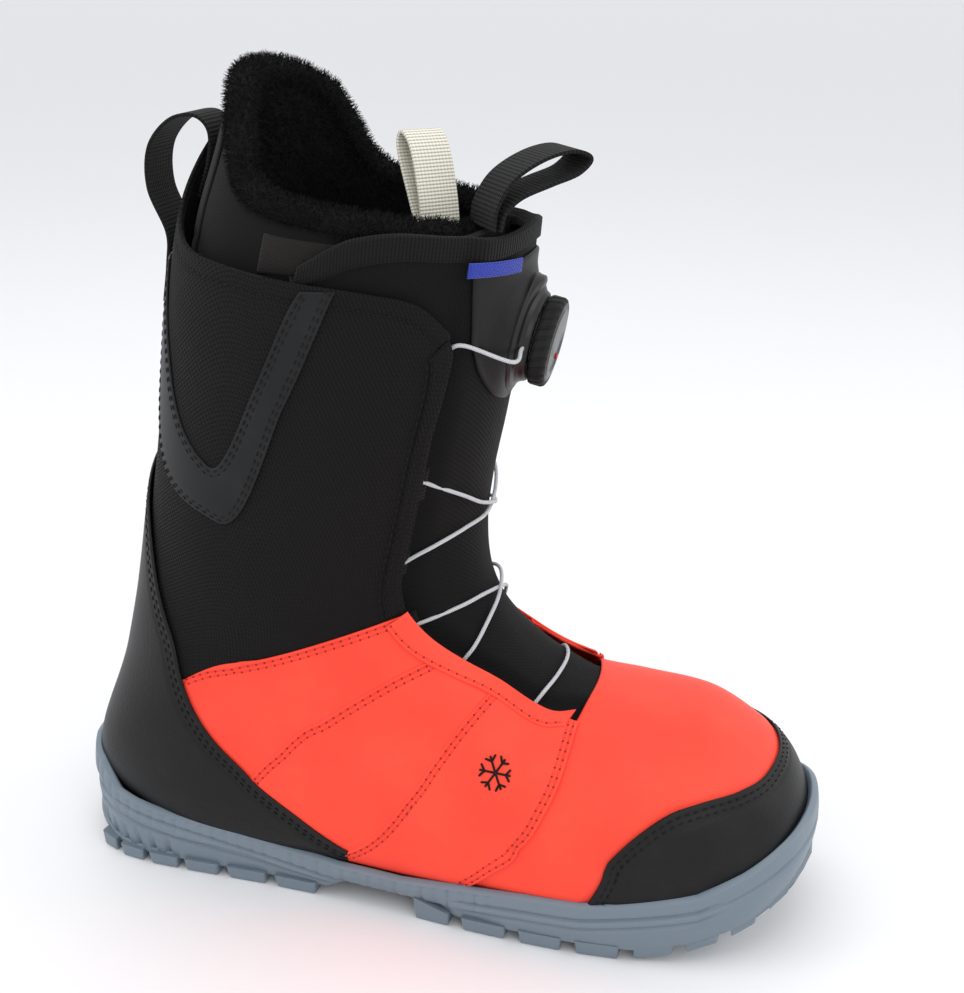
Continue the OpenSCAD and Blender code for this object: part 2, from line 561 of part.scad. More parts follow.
loop_heading = 35;
tail_depth = tongue_in - layer_gap - 2;
front_seat = skin(14.7, 24, tail_depth);
front_path = smooth([
    [-1.2, 0], [0, 8], [6, 17], [17, 23.5], [28, 26], [34.5, 23.5], [30, 18.5], [20, 15], [9, 11],
    [3.2, 6], [1.2, 0]
], 3);
module at_front_loop() translate(front_seat) rotate([0, 0, loop_heading]) children();
module front_loop() color([0.05, 0.05, 0.055]) at_front_loop() strip(front_path, loop_w);
module front_loop_tail() color([0.05, 0.05, 0.055])
    panel([[13.9, 12], [13.9, 24], [13.9, 36]], [[14.73, 12], [14.64, 24], [14.55, 36]], 3, 2,
        tail_depth - 1.7, tail_depth + 1.7);

liner_front = liner_out - 5;
liner_lip = liner_front - 8;
tab_heading = -40;
tab_seat = skin(14.5, 36, liner_lip) - 2.4 * [cos(tab_heading), sin(tab_heading), 0];
tab_path = smooth([[1.2, 0], [-1, 14], [-6, 29], [-12, 34], [-14, 28], [-7, 12], [-1.2, 0]], 3);
module liner_tab() color([0.85, 0.83, 0.74])
    translate(tab_seat) rotate([0, 0, tab_heading]) strip(tab_path, tab_w);
module liner_tab_tail() color([0.85, 0.83, 0.74])
    panel([[13.85, 24], [13.85, 36], [13.85, 48]], [[14.462, 24], [14.402, 36], [14.322, 48]], 3, 2,
        liner_lip - 4.1, liner_lip - layer_gap);

// ---- liner ----
liner_rim = [
    [14.5, 40], [14.45, 66], [14.45, 90], [14.55, 112], [14.8, 130], [15.3, 148], [15.62, 163], [15.7, 180]
];
liner_base = [for (p = liner_rim) [7.06, p[1]]];
function round_back(edge) = concat(edge, [for (i = [len(edge) - 2:-1:0]) [edge[i][0], 360 - edge[i][1]]]);
module on_board() difference() {
    children();
    translate([-200, -200, 0]) cube([400, 400, board_top + layer_gap / 2]);
}
module liner_foot() color([0.1, 0.1, 0.11]) on_board() sock(1.05, 1.5, 7, 9, 24, liner_in, liner_out);
module liner_shaft() color([0.1, 0.1, 0.11])
    on_board() panel(round_back(liner_base), round_back(liner_rim), 14, 1, liner_in, liner_out);
module liner_tongue() color([0.08, 0.08, 0.09])
    panel([[7.06, -39.5], [7.06, -20], [7.06, 0], [7.06, 20], [7.06, 39.5]],
        [[14.4, -39.5], [14.45, -20], [14.45, 0], [14.45, 20], [14.4, 39.5]], 10, 2, liner_lip, liner_front);
module liner_collar() color([0.03, 0.03, 0.035])
    panel(round_back(shifted(liner_rim, 0.02)), round_back(shifted(liner_rim, 0.26)), 1, 1,
        liner_in - 1, liner_out + 0.5);
rear_low_edge = [[13.6, 148], [13.5, 164], [13.5, 180]];
rear_high_edge = [[15.3, 150], [15.55, 164], [15.6, 180]];
module liner_rear_panel() color([0.12, 0.12, 0.13])
    panel(round_back(rear_low_edge), round_back(rear_high_edge), 4, 2, liner_out + 0.3, liner_out + 1.1);
module liner_label() color([0.1, 0.08, 0.08])
    panel([[14.02, 82], [13.98, 106]], [[14.34, 82], [14.34, 106]], 1, 3, liner_out + 0.3, liner_out + 0.9);
module footbed() color([0.2, 0.2, 0.22])
    translate([0, 0, 12 * kz - liner_in + 2.6]) linear_extrude(3.5)
        intersection() {
            polygon(sole_outline(sole_wall + 22));
            translate([-79 * kx, -100]) square([173 * kx, 200]);
        }

// ---- stitched marks ----
mark_shape = [[0, 1], [0.87, 0.5], [0.87, -0.5], [0, -1], [-0.87, -0.5], [-0.87, 0.5]];
module mark(a0) {
    panel([[6.66, a0 - 7], [6.6, a0], [6.66, a0 + 7]], [[7.06, a0 - 7], [7.12, a0], [7.06, a0 + 7]], 1, 1,
        0.1, 0.7);
}
module lateral_emblem() color([0.05, 0.05, 0.05]) mark(66);

outsole();
shank_plate();
midsole();
lasting_board();
toe_cap();
vamp();
lateral_quarter_front();
medial_quarter_front();
lateral_quarter_mid();
medial_quarter_mid();
lateral_quarter_rear();
medial_quarter_rear();
heel_overlay();
lateral_cuff();
medial_cuff();
lateral_v_overlay();
medial_v_overlay();
lateral_flap_facing();
medial_flap_facing();
lateral_eyestay();
medial_eyestay();
tongue();
tongue_mesh();
tongue_pad();
tongue_binding();
tongue_label();
lateral_guide_1();
lateral_guide_2();
lateral_guide_3();
lateral_guide_4();
lateral_guide_5();
medial_guide_1();
medial_guide_2();
medial_guide_3();
medial_guide_4();
medial_guide_5();
dial_base();
dial_axle();
lace_spool();
ratchet_ring();
pull_bush();
drive_plate();
knob_core();
knob_grip();
knob_cap();
knob_dot();
lace();
heel_loop();
front_loop();
front_loop_tail();
liner_tab();
liner_tab_tail();
liner_foot();
liner_shaft();
liner_tongue();
liner_collar();
liner_rear_panel();
liner_label();
footbed();
lateral_emblem();
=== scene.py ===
# %% [markdown]
# # A snowboard boot with a turn-dial closure
# The boot is sewn from flat leather and textile over a foot-shaped last, lapped seam over seam, and
# set into a rubber cup. Every panel here is laid on one smooth surface that stands for the last, so
# neighbours always fit.

import math
from functools import partial

import bmesh
import bpy
import numpy as np
from mathutils import Matrix, Vector, noise
from mathutils.kdtree import KDTree


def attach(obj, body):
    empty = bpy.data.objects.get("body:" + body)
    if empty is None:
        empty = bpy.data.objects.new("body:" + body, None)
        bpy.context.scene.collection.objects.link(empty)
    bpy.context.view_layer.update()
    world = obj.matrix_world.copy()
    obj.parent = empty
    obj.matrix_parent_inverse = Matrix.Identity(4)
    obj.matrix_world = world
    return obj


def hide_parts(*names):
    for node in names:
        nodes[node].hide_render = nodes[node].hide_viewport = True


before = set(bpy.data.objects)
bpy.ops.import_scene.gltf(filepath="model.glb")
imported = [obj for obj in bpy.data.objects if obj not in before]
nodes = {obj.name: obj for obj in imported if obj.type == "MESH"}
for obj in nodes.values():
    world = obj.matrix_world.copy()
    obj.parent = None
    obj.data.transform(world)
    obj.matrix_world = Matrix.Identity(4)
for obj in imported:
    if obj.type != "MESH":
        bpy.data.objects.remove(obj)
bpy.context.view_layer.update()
MM = 0.001

# %% [markdown]
# The camera stands at knee height on the boot's outer side, a little towards the toe, with a lens
# that makes the toe swell slightly, as a close product shot does.

# %% Camera
def aim(azimuth, elevation, roll, place, lens):
    data = bpy.data.cameras.new("camera")
    data.lens = lens
    camera = bpy.data.objects.new("camera", data)
    bpy.context.collection.objects.link(camera)
    a, e, r = (math.radians(v) for v in (azimuth, elevation, roll))
    back = Vector((math.sin(a) * math.cos(e), -math.cos(a) * math.cos(e), math.sin(e)))
    right = Vector((math.cos(a), math.sin(a), 0))
    up = back.cross(right)
    tilted = right * math.cos(r) + up * math.sin(r)
    turned = up * math.cos(r) - right * math.sin(r)
    camera.matrix_world = Matrix.Translation(place) @ Matrix((tilted, turned, back)).transposed().to_4x4()
    bpy.context.scene.camera = camera
    return camera


camera = aim(13.47, 20.11, 0.83, Vector((0.13748, -0.51338, 0.35386)), 53.06)
print("camera", [round(v, 3) for v in camera.location])

# %% [markdown]
# A boot on a plain floor needs only broad, soft lights: one overhead, three low ones round it to model
# the folds, and a bright room to fill the black textiles.

# %% Floor and light
def area_light(name, place, target, size, power, tint=(1, 1, 1)):
    data = bpy.data.lights.new(name, "AREA")
    data.shape = "RECTANGLE"
    data.size, data.size_y = size
    data.energy = power
    data.color = tint
    lamp = bpy.data.objects.new(name, data)
    lamp.location = place
    lamp.rotation_euler = (Vector(target) - Vector(place)).to_track_quat("-Z", "Y").to_euler()
    bpy.context.collection.objects.link(lamp)


area_light("overhead", (-0.1, -0.1, 1.5), (0, 0, 0.1), (1.6, 1.2), 7)
area_light("camera_side", (0.9, -1.3, 0.9), (0, 0, 0.12), (0.9, 0.9), 5)
area_light("toe_side", (1.3, 0.3, 0.7), (0.05, 0, 0.12), (0.7, 0.9), 3.5)
area_light("heel_side", (-1.2, -0.5, 0.8), (-0.05, 0, 0.15), (0.7, 0.9), 3)
world = bpy.data.worlds.new("room")
world.use_nodes = True
world.node_tree.nodes["Background"].inputs[0].default_value = (0.93, 0.94, 0.96, 1)
world.node_tree.nodes["Background"].inputs[1].default_value = 0.98
bpy.context.scene.world = world
bpy.context.scene.view_settings.view_transform = "Standard"
FLOOR_REACH = 60
floor_mesh = bpy.data.meshes.new("floor")
builder = bmesh.new()
bmesh.ops.create_grid(builder, x_segments=1, y_segments=1, size=FLOOR_REACH)
builder.to_mesh(floor_mesh)
builder.free()
floor = bpy.data.objects.new("floor", floor_mesh)
bpy.context.collection.objects.link(floor)
floor_paint = bpy.data.materials.new("pale_floor")
floor_paint.use_nodes = True
matte = floor_paint.node_tree.nodes["Principled BSDF"]
matte.inputs["Base Color"].default_value = (0.83, 0.83, 0.84, 1)
matte.inputs["Roughness"].default_value = 0.6
floor_mesh.materials.append(floor_paint)

# %% [markdown]
# ## The last
# Cross sections run from the toe tip round the bent ankle to the collar. Each is a squashed egg
# between a front point and a back point. A place on the boot is then (section, angle, depth): angle 0
# is the front, 90 the outer side, 180 the back.

# %% The boot's surface
SECTIONS = np.array([
    (149, 37, 148, 26, 7, 8, 0.50, 2.0, 2.0),
    (146, 51, 145, 17, 21, 24, 0.45, 2.0, 2.5),
    (138, 65, 136, 14, 34, 36, 0.42, 2.1, 3.2),
    (124, 76, 120, 12, 44, 45, 0.39, 2.2, 4.0),
    (105, 84, 100, 12, 51, 52, 0.38, 2.3, 4.5),
    (80, 87, 72, 12, 55, 54, 0.38, 2.3, 5.0),
    (58, 91, 42, 12, 54, 52, 0.38, 2.2, 5.0),
    (40, 100, 8, 12, 50, 48, 0.39, 2.2, 5.0),
    (27, 114, -42, 12, 46, 44, 0.40, 2.2, 4.5),
    (19, 131, -110, 12, 45, 43, 0.43, 2.2, 3.6),
    (17, 150, -145, 38, 46, 45, 0.46, 2.2, 2.6),
    (19, 170, -131, 90, 48, 47, 0.48, 2.2, 2.2),
    (24, 197, -118, 150, 52, 51, 0.48, 2.2, 2.2),
    (29, 225, -109.5, 205, 54, 53, 0.48, 2.2, 2.2),
    (32, 250, -102, 255, 55, 54, 0.48, 2.2, 2.2),
    (34, 272, -90, 293, 55, 54, 0.48, 2.2, 2.2),
    (36, 294, -79, 328, 55, 54, 0.48, 2.2, 2.2),
])


def blend_rows(rows, at):
    """Smooth curve through rows, read at fractional row numbers."""
    at = np.clip(np.asarray(at, float), 0, len(rows) - 1 - 1e-9)
    i = np.minimum(at.astype(int), len(rows) - 2)
    t = (at - i)[..., None]
    padded = np.vstack([2 * rows[0] - rows[1], rows, 2 * rows[-1] - rows[-2]])
    a, b, c, d = padded[i], padded[i + 1], padded[i + 2], padded[i + 3]
    return 0.5 * (2 * b + (c - a) * t + (2 * a - 5 * b + 4 * c - d) * t**2 + (3 * b - 3 * c + d - a) * t**3)


def skin(section, angle, depth=0.0):
    """Points on the boot in millimetres."""
    r = blend_rows(SECTIONS, section)
    a = np.radians(angle)
    c, s = np.cos(a), np.sin(a)
    power = 2 / np.where(c > 0, r[..., 7], r[..., 8])
    wide = np.where(s > 0, r[..., 4], r[..., 5]) + depth
    dx, dz = r[..., 0] - r[..., 2], r[..., 1] - r[..., 3]
    tall = np.hypot(dx, dz)
    half = np.where(c > 0, 1 - r[..., 6], r[..., 6]) * tall + depth
    u = r[..., 6] * tall + half * np.sign(c) * np.abs(c) ** power
    y = -wide * np.sign(s) * np.abs(s) ** power
    return np.stack([r[..., 2] + dx / tall * u, y, r[..., 3] + dz / tall * u], -1)


print("knuckle of the big toe at", skin(4.0, 90).round(1), "mm")

# %% [markdown]
# ## Building a panel
# A panel starts as a plain grid. Its lower and upper edges are smooth lines through a few corners,
# and every grid point slides to its place between them. Rows crowd towards the edges, so that the cut
# edge of the leather can roll over.

# %% Panel helpers
def smooth_line(corners):
    """A fine smooth line through corners, with the real length run up to each point."""
    corners = np.asarray(corners, float)
    fine = blend_rows(corners, np.linspace(0, len(corners) - 1, 40 * len(corners)))
    place = skin(fine[:, 0], fine[:, 1])
    run = np.r_[0, np.cumsum(np.linalg.norm(np.diff(place, axis=0), axis=1))]
    return run, fine


def spread(low, high, count):
    """Two edges resampled together, so that their corners stay paired."""
    low, high = np.asarray(low, float), np.asarray(high, float)
    knots = np.linspace(0, len(low) - 1, 30 * len(low))
    a, b = blend_rows(low, knots), blend_rows(high, knots)
    step = sum(np.linalg.norm(np.diff(skin(e[:, 0], e[:, 1]), axis=0), axis=1) for e in (a, b)) / 2
    run = np.r_[0, np.cumsum(step)]
    at = crowd(count, run[-1]) * run[-1]
    pick = lambda e: np.stack([np.interp(at, run, e[:, k]) for k in (0, 1)], -1)
    return pick(a), pick(b), run[-1]


def crowd(count, length):
    """Fractions from 0 to 1 that bunch up within a millimetre of both ends."""
    ends = np.array([0, 0.25, 0.6, 1.1]) / max(length, 6)
    middle = np.linspace(ends[-1], 1 - ends[-1], count - 7 + 1)
    return np.r_[ends[:-1], middle, (1 - ends[:-1])[::-1]]


def mirror_edge(edge):
    return [(s, -a) for s, a in edge][::-1]


def both_sides(edge):
    """An edge given from angle 0 outwards, carried on round the other side."""
    return [(s, -a) for s, a in edge[::-1] if a != 0] + list(edge)


def mesh_object(name, bm, smooth=True):
    """Turns a bmesh into an object in the scene."""
    mesh = bpy.data.meshes.new(name)
    bm.to_mesh(mesh)
    bm.free()
    if smooth:
        mesh.shade_smooth()
    obj = bpy.data.objects.new(name, mesh)
    bpy.context.collection.objects.link(obj)
    return obj


def grid_object(name, points, uv, closed=False):
    """A grid whose points are set in place. points and uv are rows x columns arrays, in mm."""
    rows, cols = points.shape[:2]
    bm = bmesh.new()
    bmesh.ops.create_grid(bm, x_segments=cols - 1, y_segments=rows - 1, size=0.5)
    bm.verts.ensure_lookup_table()
    layer = bm.loops.layers.uv.new("cloth")
    index = {}
    for v in bm.verts:
        j = round((v.co.x + 0.5) * (cols - 1))
        i = round((v.co.y + 0.5) * (rows - 1))
        index[v] = (i, j)
        v.co = Vector(points[i, j]) * MM
    for face in bm.faces:
        for loop in face.loops:
            i, j = index[loop.vert]
            loop[layer].uv = uv[i, j] * MM
    if closed:
        bmesh.ops.remove_doubles(bm, verts=bm.verts, dist=1e-5)
        bmesh.ops.recalc_face_normals(bm, faces=bm.faces)
    return mesh_object(name, bm)


def turn_outwards(obj, centre):
    """Flips a grid whose faces look towards centre."""
    mesh = obj.data
    poly = mesh.polygons[len(mesh.polygons) // 2]
    if poly.normal.dot(poly.center - Vector(centre)) < 0:
        mesh.flip_normals()


def wall(obj, thick, offset=-1):
    mod = obj.modifiers.new("wall", "SOLIDIFY")
    mod.thickness = thick * MM
    mod.offset = offset
    mod.use_even_offset = False
    return obj


def dress(obj, material, body, replaced=()):
    obj.data.materials.clear()
    obj.data.materials.append(material)
    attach(obj, body)
    if replaced:
        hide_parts(*replaced)
    return obj


class Relief:
    """Lines pressed into, or raised out of, a panel. Each is (points in mm, height, half width)."""

    def __init__(self):
        self.lines = []

    def add(self, path, height, width, depth=0.0):
        path = np.asarray(path, float)
        place = skin(path[:, 0], path[:, 1], depth)
        tree = KDTree(len(place))
        for k, p in enumerate(place):
            tree.insert(p, k)
        tree.balance()
        self.lines.append((tree, height, width))
        return self

    def at(self, place):
        flat = place.reshape(-1, 3)
        out = np.zeros(len(flat))
        for tree, height, width in self.lines:
            near = np.array([tree.find(p)[2] for p in flat])
            out += height * np.exp(-((near / width) ** 2))
        return out.reshape(place.shape[:-1])


def dense(corners, step=0.5):
    """A smooth line through corners as points every step mm."""
    run, fine = smooth_line(corners)
    at = np.arange(0, run[-1], step)
    return np.stack([np.interp(at, run, fine[:, k]) for k in (0, 1)], -1)


def beside(path, shift):
    """The same line moved sideways over the surface by shift mm."""
    s, a = path[:, 0], path[:, 1]
    p = skin(s, a)
    ds = (skin(s + 0.01, a) - p) / 0.01
    da = (skin(s, a + 0.5) - p) / 0.5
    along = np.gradient(p, axis=0)
    normal = np.cross(ds, da)
    side = np.cross(along, normal)
    side /= np.linalg.norm(side, axis=1)[:, None]
    g11, g12, g22 = (ds * ds).sum(1), (ds * da).sum(1), (da * da).sum(1)
    b1, b2 = (side * ds).sum(1), (side * da).sum(1)
    det = g11 * g22 - g12 * g12
    move = np.stack([(g22 * b1 - g12 * b2) / det, (g11 * b2 - g12 * b1) / det], -1)
    return path + shift * move


def slow_noise(place, size, seed):
    flat = place.reshape(-1, 3) / size + seed * 17.3
    return np.array([noise.noise(Vector(p)) for p in flat]).reshape(place.shape[:-1])


def panel(name, low, high, step, depth, relief=None, waves=0.25, roll=0.6, lift=None):
    """A sewn panel between two edges. depth is its height over the last, in mm."""
    a, b, across = spread(low, high, 12)
    along = np.linalg.norm(skin(*a.T) - skin(*b.T), axis=1).max()
    cols, rows = max(int(across / step), 12), max(int(along / step), 10)
    a, b, across = spread(low, high, cols)
    v = crowd(rows, along)[:, None, None]
    where = a[None] * (1 - v) + b[None] * v
    s, t = where[..., 0], where[..., 1]
    base = skin(s, t)
    height = depth(s, t) if callable(depth) else np.full(s.shape, float(depth))
    height = height + waves * slow_noise(base, 28, 1)
    edge_v = np.minimum(v[..., 0], 1 - v[..., 0]) * along
    u = crowd(cols, across)[None]
    edge_u = np.minimum(u, 1 - u) * across
    edge = np.minimum(np.broadcast_to(edge_v, s.shape), np.broadcast_to(edge_u, s.shape))
    height = height - roll * np.clip(1 - edge / 1.1, 0, 1) ** 2
    if relief:
        height = height + relief.at(base)
    place = skin(s, t, height)
    if lift is not None:
        place = lift(place)
    middle = skin(s, t)
    run_u = np.linalg.norm(np.diff(middle, axis=1), axis=2).cumsum(axis=1)
    run_u = np.hstack([np.zeros((len(run_u), 1)), run_u])
    run_u = run_u - run_u[:, [run_u.shape[1] // 2]]
    run_v = np.linalg.norm(np.diff(middle, axis=0), axis=2).cumsum(axis=0)
    run_v = np.vstack([np.zeros((1, run_v.shape[1])), run_v])
    obj = grid_object(name, place, np.stack([run_u, run_v], -1))
    i, j = s.shape[0] // 2, s.shape[1] // 2
    out = Vector(skin(s[i, j], t[i, j], 5) - skin(s[i, j], t[i, j]))
    poly = obj.data.polygons[i * (s.shape[1] - 1) + j]
    if poly.normal.dot(out) < 0:
        obj.data.flip_normals()
    return obj


print("panel helpers ready")

# %% [markdown]
# ## Finishes
# Leather, woven textile and moulded plastic share a few surface effects. Each effect is a node group
# with its own values, so that the grain of the toe cap and of the vamp differ only in size.

# %% Node helpers
def new_group(name, inputs, outputs):
    tree = bpy.data.node_groups.new(name, "ShaderNodeTree")
    for label, kind, value in inputs:
        socket = tree.interface.new_socket(label, in_out="INPUT", socket_type=kind)
        if value is not None:
            socket.default_value = value
    for label, kind in outputs:
        tree.interface.new_socket(label, in_out="OUTPUT", socket_type=kind)
    return tree, tree.nodes.new("NodeGroupInput"), tree.nodes.new("NodeGroupOutput")


def node(tree, kind, links=None, **settings):
    made = tree.nodes.new(kind)
    for key, value in settings.items():
        setattr(made, key, value)
    for key, value in (links or {}).items():
        socket = made.inputs[key]
        if isinstance(value, bpy.types.NodeSocket):
            tree.links.new(value, socket)
        else:
            socket.default_value = value
    return made


def maths(tree, operation, a, b=None, clamp=False):
    made = tree.nodes.new("ShaderNodeMath")
    made.operation = operation
    made.use_clamp = clamp
    for k, value in enumerate((a, b)):
        if isinstance(value, bpy.types.NodeSocket):
            tree.links.new(value, made.inputs[k])
        elif value is not None:
            made.inputs[k].default_value = value
    return made.outputs[0]


print("node helpers ready")

# %% Leather grain
def make_grain():
    """Pebbled grain with fine pores, read from Object coordinates."""
    tree, start, end = new_group(
        "leather_grain",
        [("Pebble size", "NodeSocketFloat", 900.0), ("Depth", "NodeSocketFloat", 0.3)],
        [("Height", "NodeSocketFloat"), ("Mottle", "NodeSocketFloat")],
    )
    place = node(tree, "ShaderNodeTexCoord").outputs["Object"]
    cells = node(tree, "ShaderNodeTexVoronoi", {"Vector": place, "Scale": start.outputs[0]}, feature="F1")
    pores = node(tree, "ShaderNodeTexNoise", {"Vector": place, "Scale": 2600.0, "Detail": 3.0})
    cloud = node(tree, "ShaderNodeTexNoise", {"Vector": place, "Scale": 30.0, "Detail": 4.0})
    rough = maths(tree, "MULTIPLY_ADD", pores.outputs["Fac"], 0.5)
    rough.node.inputs[2].default_value = 0.0
    both = maths(tree, "ADD", cells.outputs["Distance"], rough)
    tree.links.new(maths(tree, "MULTIPLY", both, start.outputs[1]), end.inputs["Height"])
    tree.links.new(cloud.outputs["Fac"], end.inputs["Mottle"])
    return tree


def make_weave():
    """Plain basket weave on the piece's own cloth map, with thread size in metres."""
    tree, start, end = new_group(
        "basket_weave",
        [("Thread", "NodeSocketFloat", 0.0011), ("Slant", "NodeSocketFloat", 0.0)],
        [("Height", "NodeSocketFloat"), ("Painted gap shade", "NodeSocketFloat")],
    )
    m = partial(maths, tree)
    cloth = node(tree, "ShaderNodeUVMap", uv_map="cloth").outputs[0]
    turned = node(tree, "ShaderNodeVectorRotate", {"Vector": cloth, "Angle": start.outputs[1]},
                  rotation_type="Z_AXIS")
    split = node(tree, "ShaderNodeSeparateXYZ", {"Vector": turned.outputs[0]})
    u = m("DIVIDE", split.outputs[0], start.outputs[0])
    v = m("DIVIDE", split.outputs[1], start.outputs[0])
    su = m("SINE", m("MULTIPLY", u, math.pi))
    sv = m("SINE", m("MULTIPLY", v, math.pi))
    cu = m("ABSOLUTE", su)
    cv = m("ABSOLUTE", sv)
    cell = m("ADD", m("FLOOR", u), m("FLOOR", v))
    odd = m("PINGPONG", cell, 1.0)
    over = m("MULTIPLY", cu, odd)
    under = m("MULTIPLY", cv, m("SUBTRACT", 1.0, odd))
    both = m("ADD", over, under)
    fuzz = node(tree, "ShaderNodeTexNoise", {"Vector": cloth, "Scale": 900.0, "Detail": 2.0})
    mixed = m("MULTIPLY", both, m("ADD", fuzz.outputs["Fac"], 0.5))
    tree.links.new(mixed, end.inputs["Height"])
    # the thread profile also drives the colour, darkest at the thread edges: painted shade in the gaps of the
    # weave
    tree.links.new(both, end.inputs["Painted gap shade"])
    return tree


def make_ribs():
    """Cords of a ribbed webbing, across the piece's cloth map."""
    tree, start, end = new_group(
        "webbing_ribs",
        [("Pitch", "NodeSocketFloat", 0.0016), ("Along", "NodeSocketFloat", 1.0)],
        [("Height", "NodeSocketFloat")],
    )
    m = partial(maths, tree)
    cloth = node(tree, "ShaderNodeUVMap", uv_map="cloth").outputs[0]
    split = node(tree, "ShaderNodeSeparateXYZ", {"Vector": cloth})
    pick = node(tree, "ShaderNodeMix", {"Factor": start.outputs[1], "A": split.outputs[0],
                                        "B": split.outputs[1]})
    other = node(tree, "ShaderNodeMix", {"Factor": start.outputs[1], "A": split.outputs[1],
                                         "B": split.outputs[0]})
    wave = m("SINE", m("MULTIPLY", m("DIVIDE", pick.outputs[0], start.outputs[0]), math.pi))
    fine = m("SINE", m("MULTIPLY", other.outputs[0], math.pi / 0.0007))
    both = m("ADD", m("ABSOLUTE", wave), m("MULTIPLY", fine, 0.16))
    tree.links.new(both, end.inputs["Height"])
    return tree


def make_wear():
    """Scattered patches of scuffs and dust."""
    tree, start, end = new_group(
        "scuff",
        [("Amount", "NodeSocketFloat", 0.1), ("Scale", "NodeSocketFloat", 60.0)],
        [("Mask", "NodeSocketFloat")],
    )
    m = partial(maths, tree)
    place = node(tree, "ShaderNodeTexCoord").outputs["Object"]
    streak = node(tree, "ShaderNodeTexNoise", {"Vector": place, "Scale": start.outputs[1], "Detail": 8.0,
                                               "Roughness": 0.7})
    spots = m("SUBTRACT", streak.outputs["Fac"], 0.52)
    mask = m("MULTIPLY", m("MULTIPLY", spots, 6.0, clamp=True), start.outputs[0])
    tree.links.new(mask, end.inputs["Mask"])
    return tree


GRAIN, WEAVE, RIBS, SCUFF = make_grain(), make_weave(), make_ribs(), make_wear()
print("shared effects:", [g.name for g in (GRAIN, WEAVE, RIBS, SCUFF)])

# %% Materials
def shell_material(name, colour, roughness, **sockets):
    """A Principled material, its tree and its shader."""
    mat = bpy.data.materials.new(name)
    mat.use_nodes = True
    shader = mat.node_tree.nodes["Principled BSDF"]
    shader.inputs["Base Color"].default_value = (*colour, 1)
    shader.inputs["Roughness"].default_value = roughness
    for key, value in sockets.items():
        shader.inputs[key.replace("_", " ")].default_value = value
    return mat, mat.node_tree, shader


def place_group(tree, group, **values):
    made = tree.nodes.new("ShaderNodeGroup")
    made.node_tree = group
    for key, value in values.items():
        made.inputs[key.replace("_", " ")].default_value = value
    return made


def bump(tree, shader, height, strength, distance):
    made = node(tree, "ShaderNodeBump", {"Height": height, "Strength": strength, "Distance": distance})
    tree.links.new(made.outputs[0], shader.inputs["Normal"])
    return made


def shade_range(tree, factor, low, high, dark, light):
    """Colour that runs from dark to light while factor runs from low to high."""
    ramp = node(tree, "ShaderNodeValToRGB", {"Fac": factor})
    ramp.color_ramp.elements[0].position, ramp.color_ramp.elements[1].position = low, high
    ramp.color_ramp.elements[0].color, ramp.color_ramp.elements[1].color = (*dark, 1), (*light, 1)
    return ramp.outputs[0]


def leather(name, dark, light, roughness, pebble, depth, scuff, dust, coat=0.0, distance=0.0004):
    mat, tree, shader = shell_material(name, light, roughness, Coat_Weight=coat, Coat_Roughness=0.3,
                                       Specular_IOR_Level=0.22)
    grain = place_group(tree, GRAIN, Pebble_size=pebble, Depth=depth)
    worn = place_group(tree, SCUFF, Amount=scuff)
    colour = shade_range(tree, grain.outputs["Mottle"], 0.35, 0.65, dark, light)
    mix = node(tree, "ShaderNodeMix", {"Factor": worn.outputs[0]}, data_type="RGBA")
    tree.links.new(colour, mix.inputs[6])
    mix.inputs[7].default_value = (*dust, 1)
    tree.links.new(mix.outputs[2], shader.inputs["Base Color"])
    rough = maths(tree, "ADD", maths(tree, "MULTIPLY", worn.outputs[0], 0.5), roughness)
    tree.links.new(rough, shader.inputs["Roughness"])
    bump(tree, shader, grain.outputs["Height"], 0.35, distance)
    return mat


def cloth(name, dark, light, roughness, thread, slant, sheen, strength=0.6):
    mat, tree, shader = shell_material(name, light, roughness, Sheen_Weight=sheen, Sheen_Roughness=0.5,
                                       Specular_IOR_Level=0.1)
    weave = place_group(tree, WEAVE, Thread=thread, Slant=slant)
    # colour runs from dark at the thread edges to light on the thread crowns: painted shade in the gaps of the
    # weave, on every cloth material including the lace and the labels
    colour = shade_range(tree, weave.outputs["Painted gap shade"], 0.1, 0.95, dark, light)
    tree.links.new(colour, shader.inputs["Base Color"])
    bump(tree, shader, weave.outputs["Height"], strength, thread * 0.45)
    return mat


def ribbed(name, colour, pitch, along, roughness=0.75, strength=0.8, sheen=0.04):
    mat, tree, shader = shell_material(name, colour, roughness, Sheen_Weight=sheen,
                                       Specular_IOR_Level=0.12)
    ribs = place_group(tree, RIBS, Pitch=pitch, Along=along)
    # the grooves between the cords are painted darker, down to 0.45 of the colour: painted shade in the
    # grooves
    dark = tuple(c * 0.45 for c in colour)
    shade = shade_range(tree, ribs.outputs[0], 0.1, 0.9, dark, colour)
    tree.links.new(shade, shader.inputs["Base Color"])
    bump(tree, shader, ribs.outputs[0], strength, pitch * 0.35)
    return mat


def moulded(name, colour, roughness, speckle=400.0, strength=0.1, **sockets):
    mat, tree, shader = shell_material(name, colour, roughness, **sockets)
    place = node(tree, "ShaderNodeTexCoord").outputs["Object"]
    grit = node(tree, "ShaderNodeTexNoise", {"Vector": place, "Scale": speckle, "Detail": 4.0})
    worn = place_group(tree, SCUFF, Amount=0.25, Scale=90.0)
    rough = maths(tree, "ADD", maths(tree, "MULTIPLY", worn.outputs[0], 0.4), roughness)
    tree.links.new(rough, shader.inputs["Roughness"])
    bump(tree, shader, grit.outputs["Fac"], strength, 0.0003)
    return mat


